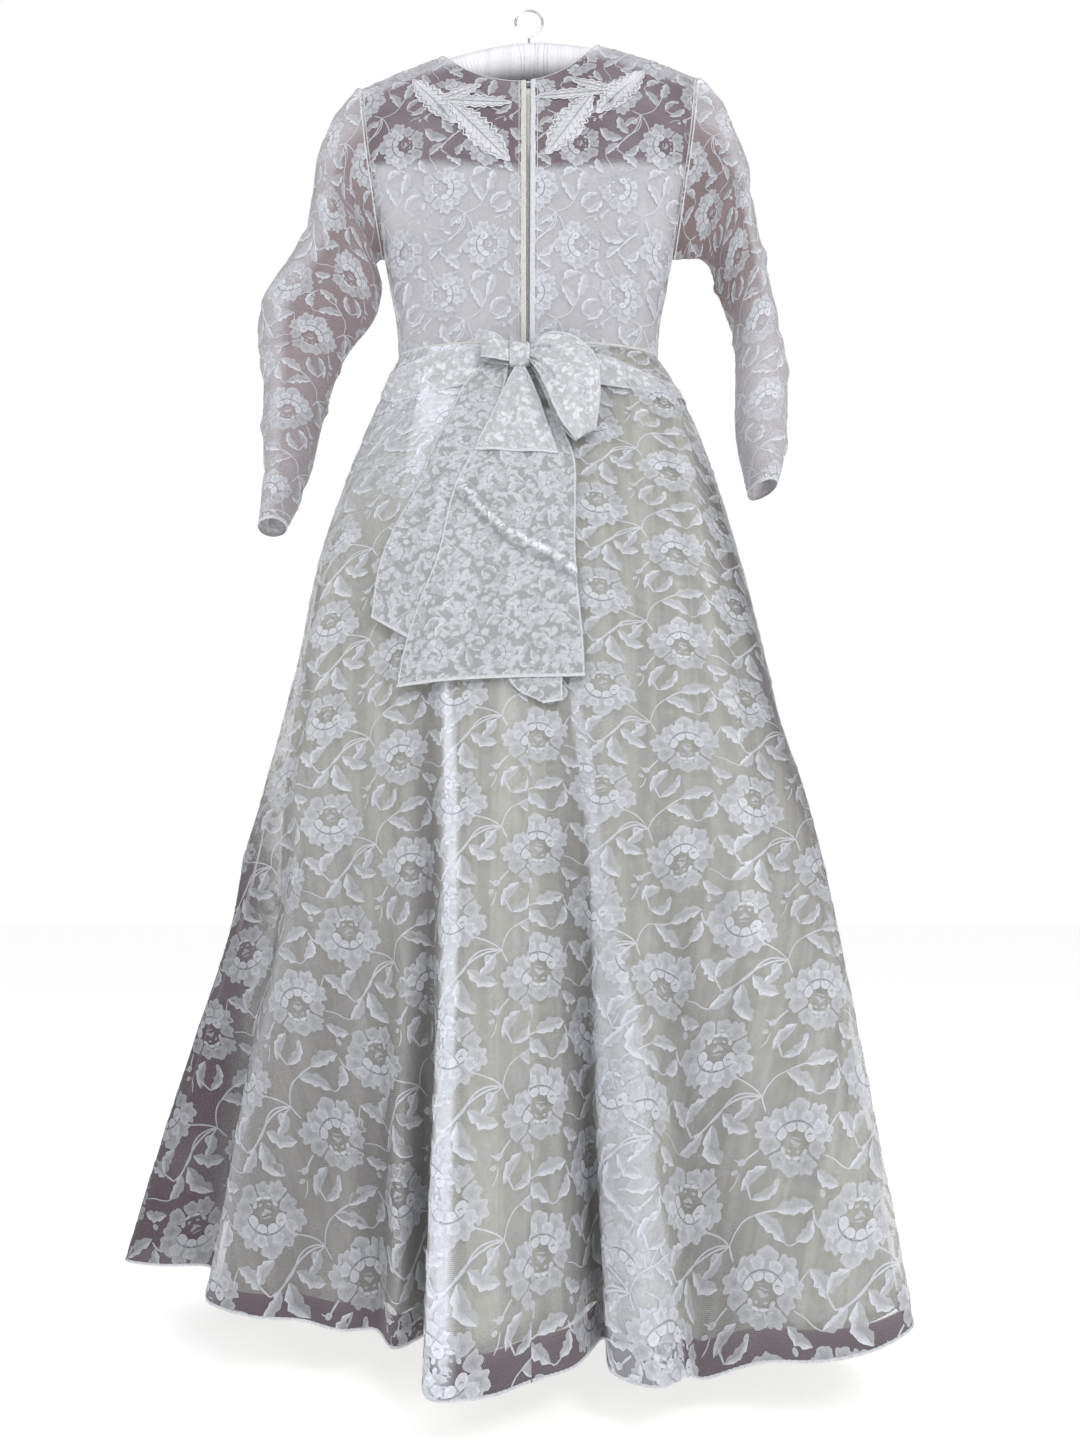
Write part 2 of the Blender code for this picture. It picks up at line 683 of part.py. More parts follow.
def leaf_outline(leaf):
    base = Vector((leaf["base_x"], leaf["base_height"]))
    along = Vector((leaf["tip_x"], leaf["tip_height"])) - base
    aside = Vector((-along.y, along.x)).normalized() * leaf["width"] / 2
    places = steps(0, 1, leaf_points)
    widths = [max(math.sin(math.pi * t), 0) ** leaf_fullness for t in places]
    right = [base + along * t - aside * width for t, width in zip(places, widths)]
    left = [base + along * t + aside * width for t, width in zip(places, widths)]
    return right + left[-2:0:-1], [base + along * t for t in places[1:-1]]


def yoke_point(x, height):
    side = read(bodice_sections, "height", height, "side")
    return bodice_point(turn_at(x, side), height)


def off_yoke(x, height, out):
    step = 0.002
    along = yoke_point(x + step, height) - yoke_point(x - step, height)
    down = yoke_point(x, height - step) - yoke_point(x, height + step)
    return yoke_point(x, height) - along.cross(down).normalized() * out


def make_leaves(name, leaves):
    """One spray: the leaves are joined flat, then laid on the yoke."""
    flat, outlines = [], []
    for leaf in leaves:
        outline, middle = leaf_outline(leaf)
        outlines.append(list(range(len(flat), len(flat) + len(outline))))
        flat += outline + middle
    spots, _, faces, *_ = delaunay_2d_cdt(flat, [], outlines, 1, 1e-5)
    mesh = bmesh.new()
    upper = [mesh.verts.new(off_yoke(*spot, leaf_off + leaf_thick)) for spot in spots]
    lower = [mesh.verts.new(off_yoke(*spot, leaf_off)) for spot in spots]
    rims = {}
    for face in faces:
        mesh.faces.new([upper[k] for k in face])
        mesh.faces.new([lower[k] for k in reversed(face)])
        for a, b in zip(face, face[1:] + face[:1]):
            rims[(a, b)] = (b, a) not in rims
            if (b, a) in rims:
                rims[(b, a)] = False
    for (a, b), single in rims.items():
        if single:
            mesh.faces.new((upper[b], upper[a], lower[a], lower[b]))
    loose = [spot for spot in mesh.verts if not spot.link_faces]
    bmesh.ops.delete(mesh, geom=loose, context="VERTS")
    return from_mesh(name, mesh, lace_look)


# ---------------------------------------------------------------- bow and sash
# Strips of doubled lace.  They lie over the back of the skirt and span its narrow hollows.
drape_step = 0.008
drape_row = 0.020
drape_left, drape_right = -0.200, 0.136
drape_low, drape_high = 0.560, 1.060
drape_reach = 2              # columns each way that a strip spans


def back_outline(height):
    """The lace at one height, from the left edge across the back to the right side."""
    outline = []
    for place in steps(row_of["left_edge"] - row_count, row_of["right_side"], 130):
        drop = (waist_height - height) / (waist_height - hem_curve.read(place, "lift"))
        outline.append(skirt_point(place, max(drop, 0.0)))
    return outline


def furthest_back(outline, x):
    across = [spot.x for spot in outline]
    x = min(max(x, min(across) + 0.001), max(across) - 0.001)
    found = []
    for spot, after in zip(outline, outline[1:]):
        if (spot.x - x) * (after.x - x) <= 0 and spot.x != after.x:
            found.append(mix(spot.y, after.y, (x - spot.x) / (after.x - spot.x)))
    return min(found)


def drape_line(height):
    outline = back_outline(height)
    count = round((drape_right - drape_left) / drape_step)
    line = [furthest_back(outline, drape_left + drape_step * k) for k in range(count + 1)]
    spanned = [min(line[max(k - drape_reach, 0):k + drape_reach + 1]) for k in range(count + 1)]
    soft = []
    for k in range(count + 1):
        near = spanned[max(k - drape_reach, 0):k + drape_reach + 1]
        soft.append(sum(near) / len(near))
    return soft


drape_lines = [drape_line(drape_low + drape_row * k)
               for k in range(round((drape_high - drape_low) / drape_row) + 1)]


def drape(x, height):
    """y of the surface that the bow and its tails lie on."""
    u = min(max((x - drape_left) / drape_step, 0), len(drape_lines[0]) - 1.001)
    v = min(max((height - drape_low) / drape_row, 0), len(drape_lines) - 1.001)
    i, j = int(u), int(v)
    low = mix(drape_lines[j][i], drape_lines[j][i + 1], u - i)
    high = mix(drape_lines[j + 1][i], drape_lines[j + 1][i + 1], u - i)
    return mix(low, high, v - j)


# Rows run down each strip: its two edges, and how far it stands off what it lies on.
strip_columns = "left_x left_height right_x right_height off"
tail_left_rows = table(
    strip_columns,
    (-0.0560, 1.022, -0.0222, 1.024, 0.0050),
    (-0.0780, 0.990, -0.0280, 0.985, 0.0038),
    (-0.0960, 0.936, -0.0420, 0.932, 0.0030),
    (-0.1130, 0.892, -0.0560, 0.884, 0.0030),
    (-0.1260, 0.846, -0.0700, 0.832, 0.0030),
    (-0.1480, 0.800, -0.0860, 0.774, 0.0030),
    (-0.1660, 0.746, -0.1040, 0.716, 0.0030),
    (-0.1710, 0.686, -0.1270, 0.657, 0.0030),
)
tail_centre_rows = table(
    strip_columns,
    (-0.0300, 0.960, 0.0300, 0.955, 0.0052),
    (-0.0610, 0.897, 0.0540, 0.888, 0.0052),
    (-0.0840, 0.838, 0.0560, 0.830, 0.0052),
    (-0.0980, 0.755, 0.0545, 0.758, 0.0052),
    (-0.1160, 0.700, 0.0570, 0.705, 0.0052),
    (-0.1310, 0.645, 0.0610, 0.655, 0.0052),
    (-0.1370, 0.601, 0.0620, 0.609, 0.0052),
)
tail_under_rows = table(
    strip_columns,
    (-0.0200, 0.900, 0.0300, 0.900, 0.0032),
    (-0.0300, 0.800, 0.0440, 0.800, 0.0032),
    (-0.0280, 0.700, 0.0440, 0.705, 0.0032),
    (-0.0180, 0.606, 0.0390, 0.625, 0.0032),
    (0.0180, 0.578, 0.0385, 0.582, 0.0032),
)
drop_rows = table(
    strip_columns,
    (-0.0160, 1.0136, -0.0030, 1.0136, 0.0110),
    (-0.0290, 0.980, 0.0110, 0.978, 0.0095),
    (-0.0430, 0.942, 0.0220, 0.940, 0.0080),
    (-0.0550, 0.914, 0.0300, 0.912, 0.0072),
    (-0.0610, 0.893, 0.0360, 0.888, 0.0070),
)
fold_line = table(
    "x height", (-0.076, 0.846), (-0.050, 0.812), (-0.017, 0.780), (0.036, 0.748), (0.060, 0.724),
)
fold_rise = 0.006            # the centre tail is turned over along this line
fold_width = 0.009


def strip_spot(rows, a, b):
    """a is 0 at the left edge and 1 at the right, b counts rows."""
    spot = [read(rows, "row", b, name) for name in ("left_x", "left_height")]
    edge = [read(rows, "row", b, name) for name in ("right_x", "right_height")]
    return mix(spot[0], edge[0], a), mix(spot[1], edge[1], a)


def turned_fold(x, height):
    line = read(fold_line, "x", x, "height")
    ends = ease((x + 0.084) / 0.02)
    return fold_rise * ends * math.exp(-((height - line) / fold_width) ** 2)


def waves(a, count, depth):
    """Soft upright folds across a strip, always outwards."""
    return depth * math.sin(math.pi * count * a) ** 2


def make_strip(name, rows, columns, per_row, extra):
    keyed = [dict(row, row=k) for k, row in enumerate(rows)]

    def strip_point(a, b):
        x, height = strip_spot(keyed, a, b)
        off = read(keyed, "row", b, "off") + wall + extra(a, b / (len(keyed) - 1), x, height)
        return Vector((x, drape(x, height) - off, height - hook_height))

    last = len(keyed) - 1
    return cloth(name, strip_point, steps(0, 1, columns), steps(0, last, last * per_row),
                 bow_look, flip=True)


# The loops turn back on themselves: the front layer runs out from the knot, the back
# layer returns.  puff is the hollow between them.
loop_columns = "upper_x upper_height lower_x lower_height puff"
loop_right_rows = table(
    loop_columns,
    (0.0030, 1.044, 0.0030, 1.018, 0.012),
    (0.0260, 1.061, 0.0120, 0.998, 0.022),
    (0.0560, 1.052, 0.0220, 0.968, 0.030),
    (0.0820, 1.018, 0.0300, 0.944, 0.032),
    (0.0860, 0.968, 0.0400, 0.922, 0.028),
    (0.0800, 0.918, 0.0560, 0.902, 0.018),
)
loop_left_rows = table(
    loop_columns,
    (-0.0222, 1.044, -0.0222, 1.018, 0.013),
    (-0.0340, 1.058, -0.0350, 1.019, 0.018),
    (-0.0460, 1.064, -0.0480, 1.022, 0.019),
    (-0.0560, 1.061, -0.0570, 1.026, 0.015),
)
loop_behind = 0.0078         # stand-off of the back layer
loop_sides = 14


def make_loop(name, rows, hand):
    keyed = [dict(row, row=k) for k, row in enumerate(rows)]
    last = len(keyed) - 1

    def loop_point(turn, b):
        out = last * math.sin(turn)
        front = 0.5 + 0.5 * power(math.cos(turn), 0.5)
        upper = [read(keyed, "row", out, key) for key in ("upper_x", "upper_height")]
        lower = [read(keyed, "row", out, key) for key in ("lower_x", "lower_height")]
        x, height = mix(upper[0], lower[0], b), mix(upper[1], lower[1], b)
        swell = 0.75 + 0.25 * math.sin(math.pi * b)
        off = loop_behind + wall + read(keyed, "row", out, "puff") * front * swell
        return Vector((x, drape(x, height) - off, height - hook_height))

    return cloth(name, loop_point, steps(0, math.pi, loop_sides), steps(0, 1, 4), bow_look,
                 flip=hand > 0)


knot_left, knot_right = -0.0218, 0.0026
knot_low, knot_high = 1.0142, 1.0470
knot_behind = 0.0049
knot_depth = 0.020
knot_points = 14
knot_rings = (0, 0.12, 0.5, 0.88, 1)


def make_knot():
    """The gathered middle of the bow, wrapped in a band, so it is solid."""
    mesh = bmesh.new()
    middle = (knot_low + knot_high) / 2
    flat = drape(-0.01, middle) - knot_behind - knot_depth / 2
    rings = []
    for share in knot_rings:
        full = 0.86 + 0.14 * math.sin(math.pi * share)
        ring = []
        for turn in steps(0, math.tau, knot_points)[:-1]:
            height = (knot_high - knot_low) / 2 * power(math.sin(turn), 0.7) * full
            depth = knot_depth / 2 * power(math.cos(turn), 0.7) * full
            ring.append(mesh.verts.new((mix(knot_left, knot_right, share), flat - depth,
                                        middle + height - hook_height)))
        rings.append(ring)
    for ring, after in zip(rings, rings[1:]):
        for k in range(knot_points):
            n = (k + 1) % knot_points
            mesh.faces.new((ring[k], ring[n], after[n], after[k]))
    mesh.faces.new(rings[0])
    mesh.faces.new(rings[-1])
    return from_mesh("bow_knot", mesh, bow_look)


# The sash follows the waist seam from the knot to the side seams.
sash_off = 0.0008
sash_left_rows = table(
    "turn low high",
    (-0.2490, 1.018, 1.040), (-0.180, 0.984, 1.037), (-0.120, 0.984, 1.046),
    (-0.060, 0.996, 1.058), (-0.025, 1.008, 1.050), (-0.004, 1.014, 1.046),
)
sash_right_rows = table(
    "turn low high",
    (0.004, 1.014, 1.046), (0.040, 1.002, 1.046), (0.080, 0.990, 1.042), (0.130, 0.986, 1.020),
    (0.160, 0.976, 1.012), (0.200, 0.990, 1.008), (0.2490, 0.993, 1.007),
)


def place_of(turn):
    """Where round the hem the fold line from this part of the waist goes."""
    low, high = -row_count / 2, row_count / 2
    for _ in range(24):
        middle = (low + high) / 2
        if hem_curve.read(middle, "turn") < turn:
            low = middle
        else:
            high = middle
    return low


def make_sash(name, rows, columns):
    def sash_point(turn, share):
        height = mix(read(rows, "turn", turn, "high"), read(rows, "turn", turn, "low"), share)
        place = place_of(turn)
        drop = (waist_height - height) / (waist_height - hem_curve.read(place, "lift"))
        spot = skirt_point(place, drop)
        along = skirt_point(place + 0.2, drop) - skirt_point(place - 0.2, drop)
        down = skirt_point(place, drop + 0.01) - spot
        out = along.cross(down).normalized()
        return spot - out * (wall + sash_off)

    ends = rows[0]["turn"], rows[-1]["turn"]
    return cloth(name, sash_point, steps(*ends, columns), steps(0, 1, 3), bow_look, flip=True)


def make_bow():
    make_sash("sash_left", sash_left_rows, 12)
    make_sash("sash_right", sash_right_rows, 12)
    make_knot()
    make_loop("bow_loop_right", loop_right_rows, 1)
    make_loop("bow_loop_left", loop_left_rows, -1)

    def drop_extra(a, fall, x, height):
        return waves(a, 2, 0.003 * fall)

    def centre_extra(a, fall, x, height):
        return turned_fold(x, height)

    def flat(a, fall, x, height):
        return 0.0

    make_strip("bow_drop", drop_rows, 8, 2, drop_extra)
    make_strip("bow_tail_left", tail_left_rows, 6, 1, flat)
    make_strip("bow_tail_centre", tail_centre_rows, 10, 2, centre_extra)
    make_strip("bow_tail_under", tail_under_rows, 5, 2, flat)


clear_scene()
make_hanger()
make_bodice()
make_skirt()
make_sleeve("sleeve_right", sleeve_right_rings, 1)
make_sleeve("sleeve_left", sleeve_left_rings, -1)
make_zip()
make_leaves("applique_left", leaves_left)
make_leaves("applique_right", leaves_right)
make_bow()
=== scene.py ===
# A long-sleeved wedding dress of corded lace over a plain lining, hanging on a padded satin
# hanger and seen from the back, with its zip, its sash and its soft bow. Everything is in metres.
import math

import bmesh
import bpy
import numpy as np
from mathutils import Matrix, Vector


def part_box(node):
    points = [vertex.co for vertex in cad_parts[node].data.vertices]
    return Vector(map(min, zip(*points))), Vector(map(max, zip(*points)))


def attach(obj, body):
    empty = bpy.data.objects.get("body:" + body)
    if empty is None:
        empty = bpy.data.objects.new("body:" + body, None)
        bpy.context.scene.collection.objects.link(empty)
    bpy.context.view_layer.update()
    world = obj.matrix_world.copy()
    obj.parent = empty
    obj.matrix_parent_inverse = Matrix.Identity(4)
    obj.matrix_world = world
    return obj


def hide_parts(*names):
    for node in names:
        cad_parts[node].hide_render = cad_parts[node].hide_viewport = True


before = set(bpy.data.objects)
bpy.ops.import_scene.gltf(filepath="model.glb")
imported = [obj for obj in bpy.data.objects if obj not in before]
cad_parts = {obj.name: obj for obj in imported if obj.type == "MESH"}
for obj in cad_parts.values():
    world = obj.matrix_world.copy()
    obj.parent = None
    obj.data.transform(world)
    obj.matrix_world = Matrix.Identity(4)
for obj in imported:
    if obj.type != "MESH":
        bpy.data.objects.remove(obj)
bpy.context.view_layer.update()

for name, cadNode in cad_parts.items():
    if cadNode is None:
        raise RuntimeError(name)

dress = dict(
    hookHeight=1.576,        # heights are above the hem at centre back
    waistHeight=1.061,
    underarmHeight=1.205,
    neckHalfWidth=0.110,
    neckShift=-0.012,
    backNeckHeight=1.436,
    frontNeckHeight=1.490,
    wall=0.0012,
    seamGap=0.0003,
    padRadius=0.0225,
    padHalfLength=0.208,
    sideTurn=0.2499,         # the side seams, in turns round the body from centre back
    cornerPower=2.3,
    hangDepth=0.110,
    bustEase=0.012,
)
dress["padCover"] = dress["padRadius"] + dress["wall"] + 0.0014
hookHeight = dress["hookHeight"]
waistHeight = dress["waistHeight"]


# ---- small maths, all on whole arrays
def table(columns, text, parts=1000):
    # rows of numbers written as text, in thousandths (millimetres) unless parts says otherwise
    return np.array(text.replace(",", " ").split(), float).reshape(-1, columns) / parts


def rowsOf(names, text, parts=1000):
    return dict(zip(names.split(), table(len(names.split()), text, parts).T))


def mixed(a, b, part):
    return a + (b - a) * part


def eased(value):
    value = np.clip(value, 0.0, 1.0)
    return value * value * (3 - 2 * value)


def signedPower(value, exponent):
    return np.copysign(np.abs(value) ** exponent, value)


def hermite(a, b, slopeA, slopeB, part):
    square, cube = part * part, part * part * part
    return (a * (2 * cube - 3 * square + 1) + slopeA * (cube - 2 * square + part)
            + b * (3 * square - 2 * cube) + slopeB * (cube - square))


def readRows(rows, key, at, column):
    keys, values = rows[key], rows[column]
    if keys[0] > keys[-1]:
        keys, values = keys[::-1], values[::-1]
    at = np.clip(at, keys[0], keys[-1])
    k = np.clip(np.searchsorted(keys, at, side="left") - 1, 0, len(keys) - 2)
    gap = keys[k + 1] - keys[k]
    before, after = np.maximum(k - 1, 0), np.minimum(k + 2, len(keys) - 1)
    slopeIn = (values[k + 1] - values[before]) / (keys[k + 1] - keys[before]) * gap
    slopeOut = (values[after] - values[k]) / (keys[after] - keys[k]) * gap
    return hermite(values[k], values[k + 1], slopeIn, slopeOut, (at - keys[k]) / gap)


def readAll(rows, at, first=0.0):
    # every column of a table, in their order, where its rows are counted from first
    keyed = dict(rows, row=np.arange(len(next(iter(rows.values())))) + first)
    return [readRows(keyed, "row", at, name) for name in rows]


def joined(x, y, z):
    return np.stack(np.broadcast_arrays(x, y, z), axis=-1).astype(float)


def unit(vectors):
    return vectors / np.maximum(np.linalg.norm(vectors, axis=-1, keepdims=True), 1e-12)


# ---- the bodice's form
bodiceSections = rowsOf(
    "height side back front arm",
    "1061 165 47 50 0, 1110 169 49 58 0, 1160 178.5 52 68 0, 1205 187 53 74 1, 1240 192.5 53 75 18, "
    "1290 200 52 70 30, 1350 209 49 60 34, 1410 217 44 50 29, 1463 223.5 36 38 20")
shoulderLine = rowsOf(
    "x height",
    "-223.5 1448, -205 1457.5, -165 1476.5, -120 1494.5, -60 1513, 0 1522.5, 60 1519, 120 1506.5, 165 1491, "
    "205 1474, 223.5 1465")
shoulderReach = 0.2235


def shoulderHeight(x):
    return readRows(shoulderLine, "x", x, "height")


def padRise(x):
    slope = (shoulderHeight(x + 0.01) - shoulderHeight(x - 0.01)) / 0.02
    return dress["padCover"] * np.hypot(1, slope)


def topHeight(x, front):
    fromNeck = np.abs(x - dress["neckShift"]) / dress["neckHalfWidth"]
    low = np.where(front, dress["frontNeckHeight"], dress["backNeckHeight"])
    rim = dress["neckShift"] + np.copysign(dress["neckHalfWidth"], x - dress["neckShift"])
    dip = mixed(low, shoulderHeight(rim), np.minimum(fromNeck, 1.0) ** 1.9)
    return np.where(fromNeck >= 1, shoulderHeight(x), dip)


def padDepth(x, height):
    above = (height - shoulderHeight(x)) / padRise(x) + 1
    ease = 0.0026 * np.exp(-((np.abs(x - dress["neckShift"]) - dress["neckHalfWidth"] + 0.006) / 0.022) ** 2)
    return (dress["padCover"] + ease) * np.sqrt(np.maximum(1 - np.maximum(above, 0.0) ** 2, 0.0))


def bodicePoint(turn, height, inset=0.0):
    turn, height = np.broadcast_arrays(np.asarray(turn, float), np.asarray(height, float))
    angle = turn * math.tau
    corner = 2 / dress["cornerPower"]
    side = readRows(bodiceSections, "height", height, "side") - inset
    x = side * signedPower(np.sin(angle), corner)
    back = np.cos(angle) > 0
    depth = np.where(back, readRows(bodiceSections, "height", height, "back"),
                     readRows(bodiceSections, "height", height, "front")) - inset
    arm = np.maximum(readRows(bodiceSections, "height", height, "arm"), 0.0)
    y = arm + (depth - arm) * np.abs(np.cos(angle)) ** corner
    bust = 0.020 * np.exp(-((np.abs(x) - 0.082) / 0.050) ** 2 - ((height - 1.235) / 0.060) ** 2)
    y = np.where(back, y, y + bust * (1 - inset / dress["bustEase"]))
    hang = eased((shoulderHeight(x) - height) / dress["hangDepth"])
    y = mixed(padDepth(x, height), np.maximum(y, 0.0), hang)
    y = np.where((hang > 0) & (height > dress["underarmHeight"] + 0.1), np.maximum(y, padDepth(x, height)), y)
    return joined(x, np.where(back, -y, y), height - hookHeight)


def turnedX(turn):
    return shoulderReach * signedPower(np.sin(turn * math.tau), 2 / dress["cornerPower"])


def liningTop(x, front):
    return np.where(front, 1.300 + 0.020 * np.exp(-((np.abs(x) - 0.085) / 0.05) ** 2),
                    1.302 + 0.012 * eased(np.abs(x) / 0.18))


def bodicePlace(turn, rise, lining=False, inset=0.0):
    x = turnedX(turn)
    front = np.cos(turn * math.tau) < 0
    upper = liningTop(x, front) if lining else topHeight(x, front)
    return bodicePoint(turn, mixed(waistHeight, upper, rise), inset)


def turnAt(x, side):
    return np.copysign(np.arcsin((np.abs(x) / side) ** (dress["cornerPower"] / 2)) / math.tau, x)


# ---- the skirt's form: the hem from above, once round from centre back, lift being its height
hem = rowsOf(
    "turn x y lift start pull",
    "0 8 -352 0 150 0, 12 40 -328 0 250 0, 22 70 -274 4 300 0, 30 76 -340 0 300 0, 40 109 -363 0 300 0, "
    "52 132 -342 0 300 0, 66 150 -316 -12 300 0, 96 196 -326 4 200 0, 128 240 -340 10 200 0, "
    "158 284 -346 21 200 0, 186 318 -328 30 150 0, 208 326 -270 26 300 0, 228 304 -210 26 350 0, "
    "250 330 -140 22 200 0, 276 310 -72 20 350 0, 304 324 -10 16 300 0, 334 280 40 12 300 0, "
    "362 228 34 10 450 0, 392 176 80 8 300 0, 424 112 52 6 400 0, 456 48 90 6 300 0, 490 -16 58 6 450 0, "
    "524 -80 94 6 250 0, 558 -146 56 8 400 0, 590 -206 84 10 300 0, 622 -264 42 14 400 5, "
    "652 -322 46 18 300 30, 682 -350 -8 24 300 50, 708 -338 -66 28 350 50, 738 -385 -112 30 200 95, "
    "758 -392 -148 30 200 100, 774 -352 -166 30 300 62, 790 -306 -162 28 400 20, 812 -280 -240 20 200 0, "
    "836 -240 -254 14 200 0, 858 -196 -246 8 300 0, 876 -158 -258 4 350 0, 888 -134 -248 2 450 0, "
    "899 -108 -286 0 450 0, 908 -84 -260 2 350 0, 920 -62 -387 0 350 0, 956 -26 -380 0 200 0")
hemCount = len(hem["turn"])
hemRow = dict(rightTurn=11, rightSide=13, leftSide=29, leftEdge=33)
hemLengths = np.hypot(np.roll(hem["x"], -1) - hem["x"], np.roll(hem["y"], -1) - hem["y"])
skirt = dict(calmReach=0.115, liningHemRise=0.027, liningSideDrop=0.015, liningGap=0.004,
             liningGapHem=0.009, pullStart=0.42)


def calmedHem(column):
    # weighted mean of the neighbours, by their distance along the hem
    values, reach = hem[column], skirt["calmReach"] * hemLengths.sum()
    calmed = []
    for i in range(hemCount):
        total = weights = 0.0
        for direction in (1, -1):
            distance, k = 0.0, i
            while distance < reach:
                length = hemLengths[(k if direction > 0 else k - 1) % hemCount]
                for part in (0.25, 0.5, 0.75):
                    share = (1 - float(eased((distance + part * length) / reach))) * length
                    total += mixed(values[k % hemCount], values[(k + direction) % hemCount], part) * share
                    weights += share
                distance += length
                k += direction
        calmed.append(total / weights)
    return np.array(calmed)


hem["calmX"], hem["calmY"] = calmedHem("x"), calmedHem("y")


def readHem(place, column):
    # place counts the rows of the hem, and may run past either end
    k = np.floor(place).astype(int)
    part = place - k

    def value(step):
        lap, row = np.divmod(k + step, hemCount)
        return hem[column][row] + (lap if column == "turn" else 0)

    before, ahead, beyond = (hemLengths[(k + step) % hemCount] for step in (-1, 0, 1))
    a0, a, b, b1 = (value(step) for step in (-1, 0, 1, 2))
    slopeA = ((a - a0) / before * ahead + (b - a) / ahead * before) / (before + ahead)
    slopeB = ((b - a) / ahead * beyond + (b1 - b) / beyond * ahead) / (ahead + beyond)
    if column == "turn":
        slopeA = np.minimum(np.minimum(slopeA, 3 * (a - a0) / before), 3 * (b - a) / ahead)
        slopeB = np.minimum(np.minimum(slopeB, 3 * (b - a) / ahead), 3 * (b1 - b) / beyond)
    return hermite(a, b, slopeA * ahead, slopeB * ahead, part)


bellyRows = rowsOf(
    "drop left right",
    "0 0 0, 50 5 13, 120 14 25, 260 27 35, 400 18 38, 470 14 38, 560 9 45, 660 -1 40, 800 0 24, 900 0 11, "
    "1000 0 0")


def skirtPoint(place, drop, pull=0.0):
    place, drop = np.broadcast_arrays(np.asarray(place, float), np.asarray(drop, float))
    turn = readHem(place, "turn")
    waist = bodicePoint(turn, waistHeight)
    start = readHem(place, "start")
    openFold = np.where(drop > start, eased((drop - start) / (1 - start)), 0.0)
    footX = mixed(readHem(place, "calmX"), readHem(place, "x"), openFold)
    footY = mixed(readHem(place, "calmY"), readHem(place, "y"), openFold)
    side = np.sin(turn * math.tau)
    left, right = (readRows(bellyRows, "drop", drop, name) for name in ("left", "right"))
    out = np.where(side > 0, right, left) * side * side + 0.010 * np.sin(math.pi * drop ** 0.62)
    if pull:
        spread = np.maximum(drop - skirt["pullStart"], 0) / (1 - skirt["pullStart"])
        out = out - pull * readHem(place, "pull") * spread ** 1.3
    x = mixed(waist[..., 0], footX, drop) + side * out
    y = mixed(waist[..., 1], footY, drop) - np.cos(turn * math.tau) * out
    z = mixed(waistHeight - dress["seamGap"], readHem(place, "lift"), drop) - hookHeight
    return joined(x, y, z)


def skirtLiningShort(place):
    side = np.sin(readHem(place, "turn") * math.tau)
    return skirt["liningHemRise"] - skirt["liningSideDrop"] * side ** 2


def skirtLiningPoint(place, fall):
    place, fall = np.broadcast_arrays(np.asarray(place, float), np.asarray(fall, float))
    drop = fall * (1 - skirtLiningShort(place) / waistHeight)
    spot = skirtPoint(place, drop, 1.0)
    along = skirtPoint(place + 0.3, drop, 1.0) - skirtPoint(place - 0.3, drop, 1.0)
    inward = unit(joined(-along[..., 1], along[..., 0], 0.0))
    return spot + inward * mixed(skirt["liningGap"], skirt["liningGapHem"], drop)[..., None]


# ---- the sleeves' form
ringColumns = "innerX innerHeight outerX outerHeight depth"
sleeveRings = {
    "right": rowsOf(
        ringColumns,
        "208 1208 260 1432 38, 226 1209 273 1388 44, 238 1196 289 1338 46, 245 1168 295 1270 46, "
        "256 1134 303 1208 45, 266 1098 314 1148 44, 266 1050 326 1086 42, 264 1000 329 1028 40, "
        "264 955 327 972 37, 271 912 320 920 34, 277 884 311 892 32"),
    "left": rowsOf(
        ringColumns,
        "203 1196 258 1414 38, 194 1184 279 1350 44, 191 1160 286 1275 46, 200 1124 305 1212 47, "
        "222 1092 342 1146 46, 240 1060 347 1098 44, 253 1018 337 1046 42, 264 970 335 982 40, "
        "272 924 332 928 37, 287 874 332 874 34, 303 842 334 834 31"),
}


def sleevePoint(side, angle, ring):
    # angle 0 is under the arm, a quarter turn is at the back, half a turn on the shoulder
    hand = 1 if side == "right" else -1
    angle, ring = np.broadcast_arrays(np.asarray(angle, float), np.asarray(ring, float))
    top = topHeight(np.full(angle.shape, hand * shoulderReach), False)
    height = mixed(dress["underarmHeight"], top, 0.5 - 0.5 * np.cos(angle))
    turn = np.where(np.sin(angle) >= 0, dress["sideTurn"], 0.5 - dress["sideTurn"])
    armhole = bodicePoint(hand * turn, height) + joined(hand * dress["seamGap"], 0, 0)
    square = armhole + joined(hand * 0.006, 0, 0)
    # rings 0 and 1 are the armhole and the same shape square to it
    innerX, innerHeight, outerX, outerHeight, depth = readAll(sleeveRings[side], np.maximum(ring, 2.0), 2.0)
    middleX, reachX = (innerX + outerX) / 2, (outerX - innerX) / 2
    middleZ, reachZ = (innerHeight + outerHeight) / 2, (outerHeight - innerHeight) / 2
    tube = joined(hand * (middleX - reachX * np.cos(angle)), -depth * np.sin(angle),
                  middleZ - reachZ * np.cos(angle) - hookHeight)
    first = mixed(armhole, square, np.clip(ring, 0, 1)[..., None])
    second = mixed(square, tube, np.clip(ring - 1, 0, 1)[..., None])
    return np.where((ring < 1)[..., None], first, np.where((ring < 2)[..., None], second, tube))


# ---- the surface that the bow lies on
drapeSpan = dict(step=0.008, row=0.020, left=-0.200, right=0.136, low=0.560, high=1.060, reach=2)


